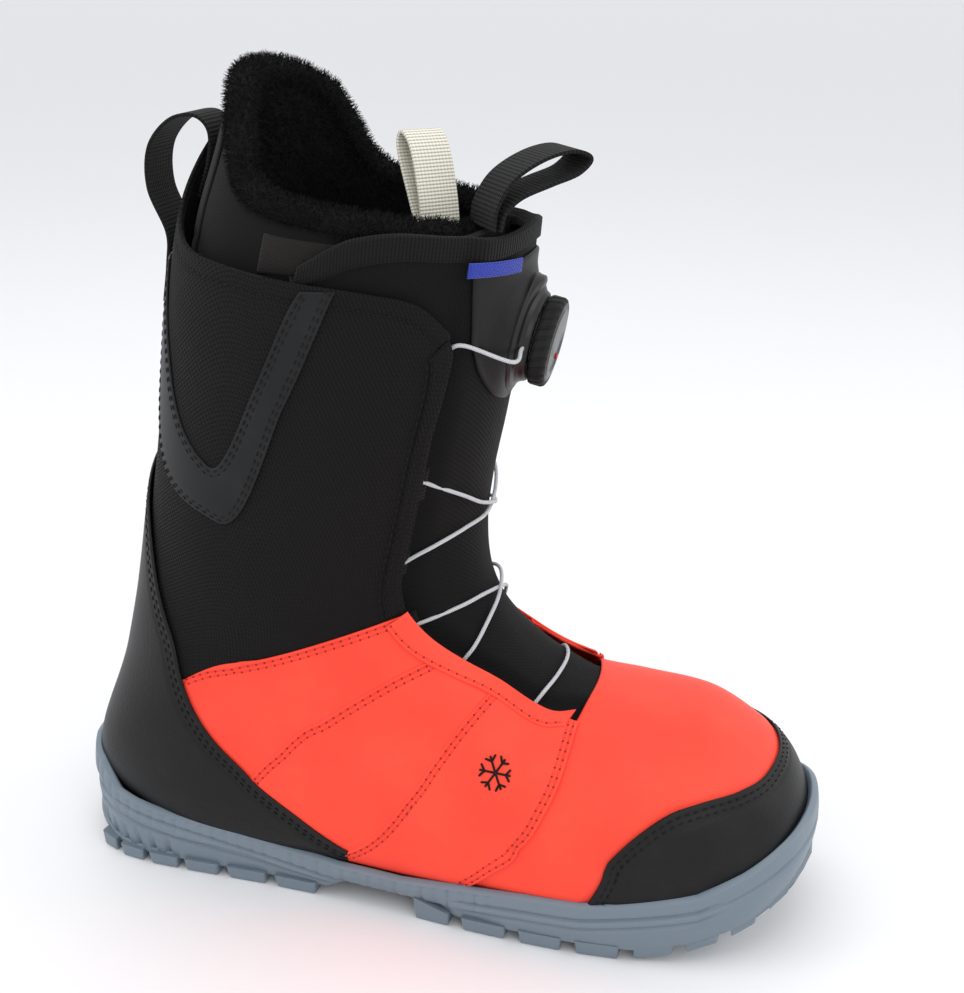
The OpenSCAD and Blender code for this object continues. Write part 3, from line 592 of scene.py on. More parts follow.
ORANGE = leather("orange_leather", (0.92, 0.060, 0.034), (0.98, 0.072, 0.040), 0.5, 1500.0, 0.16, 0.05,
                 (1.0, 0.16, 0.1), distance=0.00025)
BLACK_LEATHER = leather("black_leather", (0.0045, 0.0045, 0.0048), (0.0075, 0.0075, 0.0078), 0.46,
                        800.0, 0.5, 0.1, (0.03, 0.029, 0.028), distance=0.0004)
FILM = leather("overlay_film", (0.006, 0.0065, 0.007), (0.0085, 0.009, 0.0095), 0.42, 2200.0,
               0.12, 0.12, (0.04, 0.04, 0.04), distance=0.0002)
BALLISTIC = cloth("ballistic_cloth", (0.0015, 0.0014, 0.0014), (0.0105, 0.0098, 0.01), 0.72,
                  0.00115, 0.35, 0.02)
MESH = cloth("tongue_cloth", (0.0012, 0.0012, 0.0012), (0.0085, 0.0085, 0.009), 0.75, 0.0009, 0.0,
             0.02, 0.4)
LINER = cloth("liner_cloth", (0.003, 0.003, 0.0032), (0.007, 0.007, 0.0072), 0.85, 0.0005, 0.2, 0.05, 0.3)
STRETCH = cloth("stretch_cloth", (0.006, 0.006, 0.0065), (0.012, 0.012, 0.0125), 0.8, 0.00045, 0.1,
                0.05, 0.25)
WEBBING = ribbed("black_webbing", (0.011, 0.011, 0.0115), 0.0015, 1.0)
BINDING = ribbed("ribbed_binding", (0.009, 0.009, 0.0095), 0.0013, 0.0)
CREAM = ribbed("cream_webbing", (0.78, 0.75, 0.64), 0.0012, 1.0, sheen=0.1, strength=0.5)
THREAD_ORANGE = moulded("orange_thread", (0.8, 0.045, 0.022), 0.6)
THREAD_BLACK = moulded("black_thread", (0.006, 0.006, 0.006), 0.7, Specular_IOR_Level=0.2)
# dark red for the dots at the needle holes: painted shade of the holes
PAINTED_HOLE_SHADE = moulded("painted_needle_hole_shade", (0.3, 0.008, 0.004), 0.85)
RUBBER = moulded("sole_rubber", (0.150, 0.192, 0.232), 0.42, speckle=250.0, strength=0.12,
                 Subsurface_Weight=0.12, Subsurface_Scale=0.004)
BLACK_PLASTIC = moulded("black_plastic", (0.007, 0.007, 0.0075), 0.38, Specular_IOR_Level=0.35)
SOFT_RUBBER = moulded("soft_rubber", (0.006, 0.006, 0.0063), 0.6, speckle=900.0, strength=0.3,
                      Specular_IOR_Level=0.25)
GREY_PLASTIC = moulded("grey_plastic", (0.04, 0.041, 0.043), 0.33)
print("materials:", len(bpy.data.materials))

# %% [markdown]
# ## The outsole
# A moulded rubber cup. Its wall is one strip swept round the outline: the profile climbs from the
# tread, bulges a little, carries a ribbed band and long grooves, and leans in to a ledge under the
# upper. The lugs are separate blocks under it so that their slanted gaps read from the side.

# %% Outsole wall
OUTLINE = np.array([
    (-152, 2), (-150, -16), (-140, -32), (-116, -43), (-60, -45.5), (-15, -49), (30, -55), (70, -57.6),
    (104, -54.5), (128, -46), (142, -34), (149.5, -18), (152, 2), (149, 21), (139, 37), (122, 48.5),
    (92, 57), (66, 56.6), (25, 52), (-20, 47.5), (-70, 44.5), (-116, 42), (-140, 32), (-149.5, 18),
], float)
WALL_TOP = np.array([
    (-153, 44), (-150, 44), (-140, 40), (-130, 31), (-120, 29), (-101, 26), (-74, 24), (-52, 20), (-31, 17.5),
    (-5, 17), (21, 20), (45, 22), (68, 23), (90, 27), (111, 31), (128, 39), (142, 47), (150, 51), (153, 52),
])
TREAD = np.array([
    (-153, 15), (-146, 10), (-136, 5), (-124, 4.5), (-36, 4.5), (-29, 9), (12, 9), (18, 5), (88, 5.5),
    (110, 10), (130, 17), (145, 27), (153, 33),
])


def outline_ring(count):
    ring = np.vstack([OUTLINE, OUTLINE[:1]])
    fine = blend_rows(np.vstack([OUTLINE[-1:], ring, OUTLINE[1:2]]), np.linspace(1, len(ring), 4000))
    run = np.r_[0, np.cumsum(np.linalg.norm(np.diff(fine, axis=0), axis=1))]
    at = np.linspace(0, run[-1], count)
    return np.stack([np.interp(at, run, fine[:, k]) for k in (0, 1)], -1), at


ring, ring_run = outline_ring(1101)
tangent = np.gradient(np.vstack([ring[-2], ring, ring[1]]), axis=0)[1:-1]
outward = np.stack([tangent[:, 1], -tangent[:, 0]], -1)
outward /= np.linalg.norm(outward, axis=1)[:, None]
if (outward[0] @ ring[0]) < 0:
    outward = -outward
top_z = np.interp(ring[:, 0], *WALL_TOP.T)
low_z = np.interp(ring[:, 0], *TREAD.T)
v = np.r_[np.linspace(0, 0.12, 5), np.linspace(0.15, 0.9, 48), np.linspace(0.91, 1, 9)]
height = low_z[:, None] + (top_z - low_z)[:, None] * v[None]
toe = np.clip((ring[:, 0] - 100) / 40, 0, 1)[:, None]
from_top = top_z[:, None] - height
inset = 1.3 - 1.1 * np.sin(np.pi * np.clip(v, 0, 1))[None] + 1.0 * (1 - v[None]) ** 4
inset = inset + 1.8 * np.clip(1 - from_top / 1.6, 0, 1) ** 2


def groove(centre, width, deep):
    return deep * np.exp(-(((height - centre) / width) ** 2))


x = ring[:, 0][:, None]
fore = np.clip((x - 16) / 8, 0, 1) * np.clip((122 - x) / 8, 0, 1)
back = np.clip((-x - 20) / 10, 0, 1)
for run, centre, width, deep in (
    (fore, top_z[:, None] - 6.6, 0.8, 1.3), (fore, top_z[:, None] - 10.4, 0.7, 0.9),
    (back, 14 + (-x - 60) * 0.155, 0.8, 1.3), (back, 10 + (-x - 60) * 0.13, 0.7, 1.1),
    (toe, top_z[:, None] - 8, 0.8, 1.2),
):
    inset = inset + run * groove(centre, width, deep)
# a band of upright ribs from the heel to the arch, and teeth round the heel's lower edge
RIB_BAND, RIB_PITCH, RIB_DEEP = (1.8, 8.6), 5.6, 0.9
band = np.clip(1 - toe, 0, 1) * np.clip((40 - x) / 12, 0, 1)
inset = inset + band * 1.1 * (1 / (1 + np.exp(-(from_top - 9.5) / 0.25)))
ribs = np.abs(np.sin(np.pi * ring_run / RIB_PITCH))[:, None] ** 0.35
inset = inset + band * RIB_DEEP * (1 - ribs) * (from_top > RIB_BAND[0]) * (from_top < RIB_BAND[1])
TOOTH_PITCH, TOOTH_DEEP, TOOTH_HIGH = 7.4, 2.2, 13
teeth = np.clip((-x - 100) / 6, 0, 1) * np.clip(1 - (height - low_z[:, None]) / TOOTH_HIGH, 0, 1)
saw = (ring_run / TOOTH_PITCH % 1)[:, None]
inset = inset + teeth * TOOTH_DEEP * (1 - np.clip(np.minimum(saw, 1 - saw) * 4, 0, 1))


def inset_rings(depth, z):
    """The outline moved in by depth, at height z. Both are rings x rows."""
    flat = ring[:, None] - outward[:, None] * depth[..., None]
    return np.concatenate([flat, np.broadcast_to(z, depth.shape)[..., None]], -1)


def fixed_rings(pairs, start):
    """Rings at fixed (depth, rise) from the heights in start."""
    depth, rise = np.array(pairs, float).T
    return inset_rings(np.broadcast_to(depth, (len(ring), len(pairs))), start[:, None] + rise)


wall_points = inset_rings(inset, height)
# the ledge leans in to meet the upper, then drops inside the cup
lean = fixed_rings([(3.4, 0.1), (3.9, -0.3), (4.6, -1.4), (5.4, -5), (5.6, -10)], top_z)
foot_edge = fixed_rings([(9, 0.6), (5, 0.1), (3.2, 0)], low_z)
points = np.concatenate([foot_edge, wall_points, lean], 1)
uv = np.stack([np.broadcast_to(ring_run[:, None], points.shape[:2]), points[..., 2]], -1)
outsole = grid_object("outsole_wall", points, uv, closed=True)
turn_outwards(outsole, (0, 0, 0.02))
dress(outsole, RUBBER, "boot", ["outsole"])
print("outsole wall faces:", len(outsole.data.polygons))

# %% Lugs
def inside_outline(x, inset):
    """Width of the sole at x, measured inside the outline: (outer y, inner y)."""
    low = ring[ring[:, 1] < 0]
    high = ring[ring[:, 1] > 0]
    low, high = low[np.argsort(low[:, 0])], high[np.argsort(high[:, 0])]
    return np.interp(x, *low.T) + inset, np.interp(x, *high.T) - inset


def block(bm, corners, z_low, z_high, taper):
    """A bevelled lug: a flat face pulled down and narrowed. corners in mm."""
    verts = [bm.verts.new(Vector((cx, cy, zh)) * MM) for (cx, cy), zh in zip(corners, z_high)]
    face = bm.faces.new(verts)
    made = bmesh.ops.extrude_face_region(bm, geom=[face])
    down = [g for g in made["geom"] if isinstance(g, bmesh.types.BMVert)]
    middle = sum((g.co for g in down), Vector()) / len(down)
    for g, zl in zip(down, z_low):
        g.co.z = zl * MM
    for g in down:
        nearest = min(range(len(corners)), key=lambda k: (Vector(corners[k]) * MM - g.co.xy).length)
        g.co.z = z_low[nearest] * MM
        g.co.xy = middle.xy + (g.co.xy - middle.xy) * taper
    edges = {e for g in down for e in g.link_edges}
    bmesh.ops.bevel(bm, geom=list(edges), offset=LUG_ROUND * MM, segments=2, affect="EDGES", profile=0.5)


LUG_SPANS = [(-137, -129), (-126, -115), (-112, -99), (-96, -81), (-77, -60), (-56, -38), (4, 19), (24, 42),
             (47, 64), (69, 86), (91, 106), (110, 122), (126, 135), (139, 146)]
SLANT, LUG_ROUND, LUG_TAPER = 3.0, 0.9, 0.92
RAIL = 14  # inner edge of the side lugs, measured from the middle line
lugs = bmesh.new()
for x0, x1 in LUG_SPANS:
    ya0, yb0 = inside_outline(x0 + 1, 1.2)
    ya1, yb1 = inside_outline(x1 - 1, 1.2)
    z0, z1 = np.interp([x0, x1], *TREAD.T) + 1.5
    f0, f1 = (max(np.interp(q, *TREAD.T) - 5.2, 0) if abs(q) > 90 else 0 for q in (x0, x1))
    for a0, b0, a1, b1 in ((ya0, -RAIL, ya1, -RAIL), (RAIL, yb0, RAIL, yb1), (-10, 10, -10, 10)):
        if b0 - a0 < 6 or b1 - a1 < 6:
            continue
        lean_a, lean_b = (SLANT, 0) if b0 < 0 else (0, SLANT) if a0 > 0 else (0, 0)
        corners = [(x0 - lean_a, a0), (x1 - lean_a, a1), (x1 - lean_b, b1), (x0 - lean_b, b0)]
        block(lugs, corners, [f0, f1, f1, f0], [z0, z1, z1, z0], LUG_TAPER)
bmesh.ops.recalc_face_normals(lugs, faces=lugs.faces)
lug_obj = mesh_object("sole_lugs", lugs, smooth=False)
lug_obj.data.uv_layers.new(name="cloth")
dress(lug_obj, RUBBER, "boot", ["outsole"])
print("lug faces:", len(lug_obj.data.polygons))

# %% Tread floor
count = 121
floor_x = np.linspace(-150.5, 150.5, count)
across = np.linspace(0, 1, 41)
sides = np.array([inside_outline(q, 3.0) for q in floor_x])
points = np.stack([
    np.broadcast_to(floor_x[:, None], (count, 41)),
    sides[:, :1] + (sides[:, 1:] - sides[:, :1]) * across[None],
    np.broadcast_to(np.interp(floor_x, *TREAD.T)[:, None] + 0.1, (count, 41)),
], -1)
tread = grid_object("sole_floor", points, points[..., :2])
if tread.data.polygons[0].normal.z > 0:
    tread.data.flip_normals()
wall(tread, 2.2, -1)
dress(tread, RUBBER, "boot", ["outsole"])
print("tread floor faces:", len(tread.data.polygons))

# %% [markdown]
# ## The upper
# The foot of the boot is orange leather cut in four pieces that lap like roof tiles: each front piece
# lies over the one behind it. The toe cap and the heel counter are black and lie over the orange. The
# shaft is woven cloth. Every visible edge is doubled by two rows of stitches a few millimetres in.

# %% Edges shared by the panels
CAP = [(2.3, 0), (2.56, 28), (3.08, 44), (3.78, 56), (4.28, 65), (4.78, 82), (5.05, 98), (5.22, 132)]
VAMP_BACK = [(5.76, 0), (5.83, 18), (5.92, 32), (6.08, 45), (6.15, 57), (6.25, 77), (6.7, 96), (7.15, 138)]
FRONT = [(5.84, 29.5), (5.85, 57), (5.95, 74), (6.1, 88), (6.46, 100), (6.82, 138)]
SEAM_B = [(7.45, 33), (7.57, 45), (7.66, 60), (7.69, 74), (7.72, 92), (8.03, 138)]
SEAM_A = [(8.58, 43), (8.8, 56), (8.92, 66), (9.0, 77), (9.02, 90), (8.4, 134)]
BLACK_SEAM = [(9.55, 45), (9.74, 56), (9.94, 68), (10.2, 84), (10.45, 98), (10.52, 112)]
COUNTER_LOW = [(9.5, 180), (9.46, 160), (9.28, 142), (9.1, 135), (8.97, 131), (8.74, 129), (8.46, 128),
               (8.15, 128), (7.8, 130)]
COUNTER_HIGH = [(12.4, 180), (12.0, 150), (11.22, 126), (10.62, 110), (10.12, 100), (9.52, 95), (8.95, 94),
                (8.4, 99), (7.86, 114)]
CUFF_LOW = [(9.5, 46), (9.65, 56), (9.8, 68), (10.0, 84), (10.3, 101), (10.1, 125), (9.85, 150), (9.8, 180)]
CUFF_HIGH = [(13.36, 43), (13.75, 56), (13.88, 72), (13.95, 91), (14.02, 113), (14.1, 137), (14.36, 156),
             (15, 180)]
V_OUT = [(13.9, 80), (12.9, 89), (11.92, 99), (11.98, 114), (12.6, 148), (13.92, 166)]
V_IN = [(13.88, 89), (13.05, 98), (12.4, 107.5), (12.44, 117), (12.95, 136), (13.9, 156)]
FLAP_EDGE = [(9.62, 45.5), (10.8, 46.5), (11.9, 45.5), (12.6, 43), (13.1, 42), (13.3, 44.2)]
FLAP_IN = [(9.7, 51.5), (10.8, 52.5), (11.9, 51.5), (12.6, 49.5), (12.95, 49.5), (13.12, 50.5)]
STAY_EDGE = [(5.95, 25), (6.4, 31), (7.35, 33), (8.2, 38.5), (9, 42.5), (9.6, 45.5)]
STAY_IN = [(6.05, 35), (6.5, 40), (7.4, 41), (8.2, 46), (9, 50), (9.6, 52.5)]


def moved(edge, section, angle=0):
    return [(s + section, a + (angle if a else 0)) for s, a in edge]


def full_back(edge):
    """An edge that ends at the heel line, carried on round the inner side."""
    return list(edge) + [(s, 360 - a) for s, a in edge[::-1][1:]]


def pressed(*paths, deep=-0.45, width=0.9):
    out = Relief()
    for path in paths:
        out.add(path[::2], deep, width)
    return out


def two_sided(name, low, high, step, depth, thick, material, replaced, slot, seams=(), **more):
    """The same panel on the outer and the inner side."""
    for side, turn in (("lateral", lambda e: e), ("medial", mirror_edge)):
        paths = [beside(dense(turn(edge)), shift) for edge, shift in seams]
        obj = panel(f"{side}_{name}", turn(low), turn(high), step, depth,
                    relief=pressed(*paths) if paths else None, **more)
        wall(obj, thick)
        dress(obj, material, "boot", [f"{side}_{r}" for r in replaced])
    return obj


FINE = 1.6
REAR_UP, MID_UP, FRONT_UP, STAY_UP = 0.6, 1.15, 1.7, 2.4
print("panel step", FINE, "mm")

# %% Foot panels
cap_seam = dense(both_sides(CAP))
vamp = panel("vamp", both_sides(moved(CAP, -0.2)), both_sides(VAMP_BACK), FINE, 0.0,
             relief=Relief().add(cap_seam[::2], -0.7, 1.6))
dress(wall(vamp, 2.0), ORANGE, "boot", ["vamp"])
toe_low = [(0.22, a) for s, a in CAP]
toe = panel("toe_cap", both_sides(toe_low), both_sides(CAP), FINE, 1.1,
            relief=pressed(beside(cap_seam, -3.2), beside(cap_seam, -6.0)), waves=0.4, roll=0.9)
dress(wall(toe, 1.4), BLACK_LEATHER, "boot", ["toe_cap"])
two_sided("quarter_rear", moved(SEAM_A, -0.1), BLACK_SEAM[:-1] + [(10.4, 124)], FINE, REAR_UP, 0.9, ORANGE,
          ["quarter_rear"], "orange_leather", [(BLACK_SEAM, -2.2)])
two_sided("quarter_mid", moved(SEAM_B, -0.08), SEAM_A, FINE, MID_UP, 0.9, ORANGE,
          ["quarter_mid"], "orange_leather", [(SEAM_A, -2.2)])
two_sided("quarter_front", FRONT, SEAM_B, FINE, FRONT_UP, 1.4, ORANGE,
          ["quarter_front"], "orange_leather", [(SEAM_B, -2.2), (FRONT, 2.4)])
two_sided("eyestay", STAY_IN, STAY_EDGE, FINE, STAY_UP, 1.0, ORANGE, ["eyestay"], "orange_leather",
          [(STAY_IN, 1.6)])
print("foot panels done")

# %% Shaft panels
two_sided("cuff", CUFF_LOW, CUFF_HIGH, FINE, -0.3, 2.2, BALLISTIC, ["cuff"], "ballistic",
          [(CUFF_HIGH, -6.0)], waves=0.5, roll=1.1)
counter = panel("heel_overlay", full_back(COUNTER_LOW[::-1]), full_back(COUNTER_HIGH[::-1]), FINE, 2.15,
                relief=pressed(beside(dense(full_back(COUNTER_HIGH[::-1])), -3.0),
                               beside(dense(full_back(COUNTER_HIGH[::-1])), -5.6)), waves=0.4, roll=0.8)
dress(wall(counter, 1.2), BLACK_LEATHER, "boot", ["heel_overlay"])
two_sided("v_overlay", V_OUT, V_IN, FINE, 0.8, 0.9, FILM, ["v_overlay"], "black_film",
          [(V_OUT, 1.8), (V_IN, -1.8)], waves=0.2)
two_sided("flap_facing", FLAP_IN, FLAP_EDGE, FINE, 0.7, 0.9, BALLISTIC, ["flap_facing"], "ballistic",
          [(FLAP_IN, 1.4)], waves=0.2)
print("shaft panels done")

# %% [markdown]
# ## Tongue
# The tongue is one broad padded sheet. Between the two flaps it bulges out; under the flaps it is
# pressed flat, so it dips there. A smooth pad on it carries the dial, and a ribbed band finishes its
# top edge.

# %% Tongue
SEAT = np.array([29.2, 0, 225.5])
AXIS = np.array([math.sin(math.radians(102)), 0, math.cos(math.radians(102))])
DOWN = np.array([math.cos(math.radians(102)), 0, -math.sin(math.radians(102))])


def ease(k):
    k = np.clip(k, 0, 1)
    return k * k * (3 - 2 * k)


def tongue_depth(s, t):
    edge = np.interp(s, [5.9, 6.5, 7.35, 8.2, 9, 9.6, 14.6], [22, 29, 31, 37, 41, 45, 42])
    return -0.9 - 2.9 * ease((np.abs(t) - (edge - 9)) / 8)


def flatten(place):
    """Brings the leather round the dial onto the dial's own plane."""
    away = place - SEAT
    along = away @ AXIS
    radius = np.linalg.norm(away - along[..., None] * AXIS, axis=-1)
    return place - AXIS * (along * ease((28 - radius) / 9))[..., None]


TONGUE_TOP = [(14.04, 89), (14.3, 83), (14.45, 77), (14.55, 65), (14.57, 45), (14.6, 28), (14.72, 9),
              (14.78, 0)]
TONGUE_LOW = [(5.75, a / 3.1) for s, a in TONGUE_TOP]
tongue = panel("tongue", both_sides(TONGUE_LOW[::-1]), both_sides(TONGUE_TOP[::-1]), FINE, tongue_depth,
               waves=0.9, lift=flatten)
dress(wall(tongue, 2.4), MESH, "boot", ["tongue", "tongue_mesh"])
PAD_LOW = [(12.2, 0), (12.25, 9), (12.42, 20), (12.78, 29.5), (13.2, 35)]
PAD_HIGH = [(14.3, 0), (14.28, 8), (14.22, 19), (14.15, 31), (14.12, 38)]
pad_rim = both_sides(PAD_LOW)
pad = panel("tongue_pad", pad_rim, both_sides(PAD_HIGH), FINE, 0.5,
            relief=pressed(beside(dense(pad_rim), 2.6)), lift=flatten, roll=1.0)
dress(wall(pad, 1.6), BLACK_LEATHER, "boot", ["tongue_pad"])
BIND_LOW = [(13.86, 92), (14.0, 83), (14.14, 76), (14.26, 62), (14.26, 44), (14.3, 26), (14.4, 10),
            (14.44, 0)]
BIND_HIGH = [(14.1, 91), (14.34, 84), (14.5, 77), (14.62, 64), (14.64, 44), (14.67, 26), (14.79, 10),
             (14.85, 0)]


def band_depth(s, t):
    return tongue_depth(s, t) + 1.3


binding = panel("tongue_binding", both_sides(BIND_LOW[::-1]), both_sides(BIND_HIGH[::-1]), 1.2,
                band_depth, waves=0.5, roll=1.6)
dress(wall(binding, 4.6), BINDING, "boot", ["tongue_binding"])
BLUE = cloth("blue_label", (0.012, 0.02, 0.16), (0.03, 0.055, 0.42), 0.6, 0.0007, 0.0, 0.2)
label = panel("tongue_label", [(14.06, 14), (14.08, 41)], [(14.3, 14), (14.3, 41)], 1.0, 1.5, waves=0.1)
dress(wall(label, 0.7), BLUE, "boot", ["tongue_label"])
print("tongue done")

# %% [markdown]
# ## Liner
# The liner is a padded sock. Its shaft stands a little above the shell, the rim is trimmed with short
# pile, and a smooth stretch panel covers the back.

# %% Liner
RIM = [(14.5, 40), (14.48, 66), (14.5, 90), (14.56, 110), (14.74, 126), (15.15, 140), (15.5, 156), (15.6, 170),
       (15.62, 182), (15.62, 196), (15.6, 208), (15.54, 221), (15.42, 234), (15.12, 246), (14.8, 257),
       (14.6, 270), (14.5, 294), (14.5, 320)]
liner_low = [(7.06, a) for s, a in RIM]
shaft = panel("liner_shaft", liner_low, RIM, 3.0, -7.8, waves=0.9, roll=1.4)
dress(wall(shaft, 5.5), LINER, "boot", ["liner_shaft"])
front_low = [(7.06, a) for a in (0, 13, 26, 39.5)]
front_high = [(14.45, 0), (14.45, 13), (14.43, 26), (14.4, 39.5)]
liner_front = panel("liner_tongue", both_sides(front_low), both_sides(front_high), 3.0, -12.8, waves=0.8,
                    roll=1.2)
dress(wall(liner_front, 8.0), LINER, "boot", ["liner_tongue"])
rear = panel("liner_rear_panel", full_back([(13.6, 146), (13.5, 164), (13.5, 180)]),
             full_back([(15.14, 146), (15.44, 163), (15.5, 180)]), 1.6, -6.8,
             relief=pressed(dense(full_back([(14.15, 148), (14.0, 180)])), deep=-0.9), waves=0.4)
dress(wall(rear, 0.9), STRETCH, "boot", ["liner_rear_panel"])
patch = panel("liner_label", [(13.98, 82), (13.96, 106)], [(14.36, 82), (14.36, 106)], 1.2, -7.0, waves=0.1)
DARK_LABEL = cloth("dark_label", (0.006, 0.005, 0.005), (0.018, 0.014, 0.013), 0.5, 0.0006, 0.0, 0.1)
dress(wall(patch, 0.7), DARK_LABEL, "boot", ["liner_label"])
print("liner done")

# %% [markdown]
# The pile is real hair on the surface: a soft roll round the rim and the lining inside it carry
# thousands of tiny cones, scattered with a fixed seed and leaning at random, so that the edge breaks
# up against the light.

# %% Pile
def tube_along(name, path, radius, sides, closed_ring=False, swell=None):
    """A round tube of grid faces along points in mm."""
    if closed_ring:
        tangent = np.roll(path, -1, 0) - np.roll(path, 1, 0)
    else:
        tangent = np.gradient(path, axis=0)
    tangent /= np.linalg.norm(tangent, axis=1)[:, None]
    side = np.zeros_like(path)
    guess = np.array([0.36, 0.2, 0.91])
    for k, t in enumerate(tangent):
        guess = guess - t * (guess @ t)
        guess /= np.linalg.norm(guess)
        side[k] = guess
    if closed_ring:
        side = np.cross(tangent, [0, 0, 1.0])
        side /= np.linalg.norm(side, axis=1)[:, None]
    other = np.cross(tangent, side)
    turn = np.linspace(0, 2 * np.pi, sides + 1)
    r = np.full(len(path), float(radius)) if swell is None else radius * swell
    points = (path[:, None] + r[:, None, None] * (side[:, None] * np.cos(turn)[None, :, None]
                                                  + other[:, None] * np.sin(turn)[None, :, None]))
    run = np.r_[0, np.cumsum(np.linalg.norm(np.diff(path, axis=0), axis=1))]
    if closed_ring:
        points = np.concatenate([points, points[:1]], 0)
        run = np.r_[run, run[-1] + np.linalg.norm(path[0] - path[-1])]
    uv = np.stack(np.broadcast_arrays(run[:, None], turn[None] * radius), -1)
    obj = grid_object(name, points, uv, closed=True)
    return obj


def hair_group(material, density, length, width):
    """Thin cones scattered over a surface, leaning at random."""
    tree = bpy.data.node_groups.new("pile", "GeometryNodeTree")
    for way in ("INPUT", "OUTPUT"):
        tree.interface.new_socket("Geometry", in_out=way, socket_type="NodeSocketGeometry")
    start, end = tree.nodes.new("NodeGroupInput"), tree.nodes.new("NodeGroupOutput")
    scatter = node(tree, "GeometryNodeDistributePointsOnFaces",
                   {"Mesh": start.outputs[0], "Density": density, "Seed": HAIR_SEED})
    cone = node(tree, "GeometryNodeMeshCone",
                {"Vertices": 3, "Radius Top": HAIR_TIP, "Radius Bottom": width, "Depth": length})
    lean = node(tree, "FunctionNodeRandomValue", {0: (-0.7, -0.7, -3.1), 1: (0.7, 0.7, 3.1)},
                data_type="FLOAT_VECTOR")
    turn = node(tree, "FunctionNodeRotateRotation", {0: scatter.outputs["Rotation"], 1: lean.outputs[0]},
                rotation_space="LOCAL")
    size = node(tree, "FunctionNodeRandomValue", {2: 0.6, 3: 1.3})
    place = node(tree, "GeometryNodeInstanceOnPoints",
                 {"Points": scatter.outputs["Points"], "Instance": cone.outputs["Mesh"],
                  "Rotation": turn.outputs[0], "Scale": size.outputs[1]})
    real = node(tree, "GeometryNodeRealizeInstances", {0: place.outputs[0]})
    paint_hair = node(tree, "GeometryNodeSetMaterial", {0: real.outputs[0], "Material": material})
    join = tree.nodes.new("GeometryNodeJoinGeometry")
    tree.links.new(start.outputs[0], join.inputs[0])
    tree.links.new(paint_hair.outputs[0], join.inputs[0])
    tree.links.new(join.outputs[0], end.inputs[0])
    return tree


def grow_pile(obj, density, length, width):
    pile = obj.modifiers.new("pile", "NODES")
    pile.node_group = hair_group(FUR, density, length, width)


HAIR_SEED, HAIR_TIP = 5, 0.00004
FUR = leather("pile_fibre", (0.002, 0.002, 0.0021), (0.006, 0.006, 0.0062), 0.9, 1500.0, 0.2, 0.0,
              (0.01, 0.01, 0.01))
rim_line = dense(RIM, 2.5)
rim = skin(rim_line[:, 0] + 0.1, rim_line[:, 1], -10.8)
front_line = dense(both_sides([(14.52, 0), (14.5, 20), (14.5, 36)]), 2.5)
front_rim = skin(front_line[:, 0], front_line[:, 1], -17.5)
for name, path, replaced in (("liner_collar", rim, ["liner_collar"]), ("tongue_pile", front_rim, [])):
    swell = 1 + 0.13 * np.array([noise.noise(Vector(p / 9.0)) for p in path])
    swell[:2], swell[-2:] = swell[:2] * 0.75, swell[-2:] * 0.75
    roll = tube_along(name, path, 4.4, 14, swell=swell)
    grow_pile(roll, 2200000, 0.0023, 0.00017)
    dress(roll, FUR, "boot", replaced)
lining = panel("liner_pile", [(12.9, a) for s, a in RIM], moved(RIM, 0.04), 3.0, -14.2, waves=0.9)
lining.data.flip_normals()
grow_pile(lining, 1300000, 0.0024, 0.0002)
dress(lining, FUR, "boot", ())
print("pile rolls:", len(rim), "and", len(front_rim), "rings")

# %% [markdown]
# ## Webbing loops
# Pull loops are cut from ribbed webbing and folded on themselves. Each is one band swept along its
# side view, with a real thickness and slightly rounded selvedges.

# %% Loops
def ribbon(name, side_view, width, seat, heading, thick, material, body, replaced):
    fine = blend_rows(np.asarray(side_view, float), np.linspace(0, len(side_view) - 1, 12 * len(side_view)))
    run = np.r_[0, np.cumsum(np.linalg.norm(np.diff(fine, axis=0), axis=1))]
    at = np.linspace(0, run[-1], max(int(run[-1] / 0.9), 12))
    path = np.stack([np.interp(at, run, fine[:, k]) for k in (0, 1)], -1)
    across = crowd(20, width) - 0.5
    h = math.radians(heading)
    ahead, sideways = np.array([math.cos(h), math.sin(h), 0]), np.array([-math.sin(h), math.cos(h), 0])
    points = (np.asarray(seat, float) + path[:, None, :1] * ahead + path[:, None, 1:] * np.array([0, 0, 1.0])
              + (across * width)[None, :, None] * sideways)
    uv = np.stack(np.broadcast_arrays((across * width)[None], at[:, None]), -1)
    band = wall(grid_object(name, points, uv), thick, 0)
    edge = band.modifiers.new("selvedge", "BEVEL")
    edge.width, edge.segments, edge.limit_method = 0.35 * MM, 2, "ANGLE"
    return dress(band, material, body, replaced)


def back_at(section, depth):
    p = skin(section, 180, depth)
    return np.array([p[0], p[2]])


rim_back = back_at(15, 0)
heel_side = [back_at(14.4, -5.65), back_at(14.75, -5.65), rim_back + (3.6, 1.5), rim_back + (-2, 7),
             rim_back + (-12, 5), rim_back + (-20.5, -5), rim_back + (-21.5, -20), back_at(14.05, 3.6),
             back_at(13.8, 1.7), back_at(13.5, 1.7)]
ribbon("heel_loop", heel_side, 22, (0, 0, 0), 0, 1.3, WEBBING, "boot", ["heel_loop"])
front_seat = skin(14.7, 24, -9.8)
front_side = [(-1.2, 0), (0, 8), (6, 17), (17, 23.5), (28, 26), (34.5, 23.5), (30, 18.5), (20, 15), (9, 11),
              (3.2, 6), (1.2, 0)]
ribbon("front_loop", front_side, 22, front_seat, 35, 1.3, WEBBING, "front_pull_loop", ["front_loop"])
TAB_HEADING = -40
tab_lean = 2.4 * np.array([math.cos(math.radians(TAB_HEADING)), math.sin(math.radians(TAB_HEADING)), 0])
tab_seat = skin(14.5, 36, -20.8) - tab_lean
tab_side = [(1.2, 0), (-1, 14), (-6, 29), (-12, 34), (-14, 28), (-7, 12), (-1.2, 0)]
ribbon("liner_tab", tab_side, 16, tab_seat, TAB_HEADING, 1.3, CREAM, "liner_pull_tab", ["liner_tab"])
print("loops done")

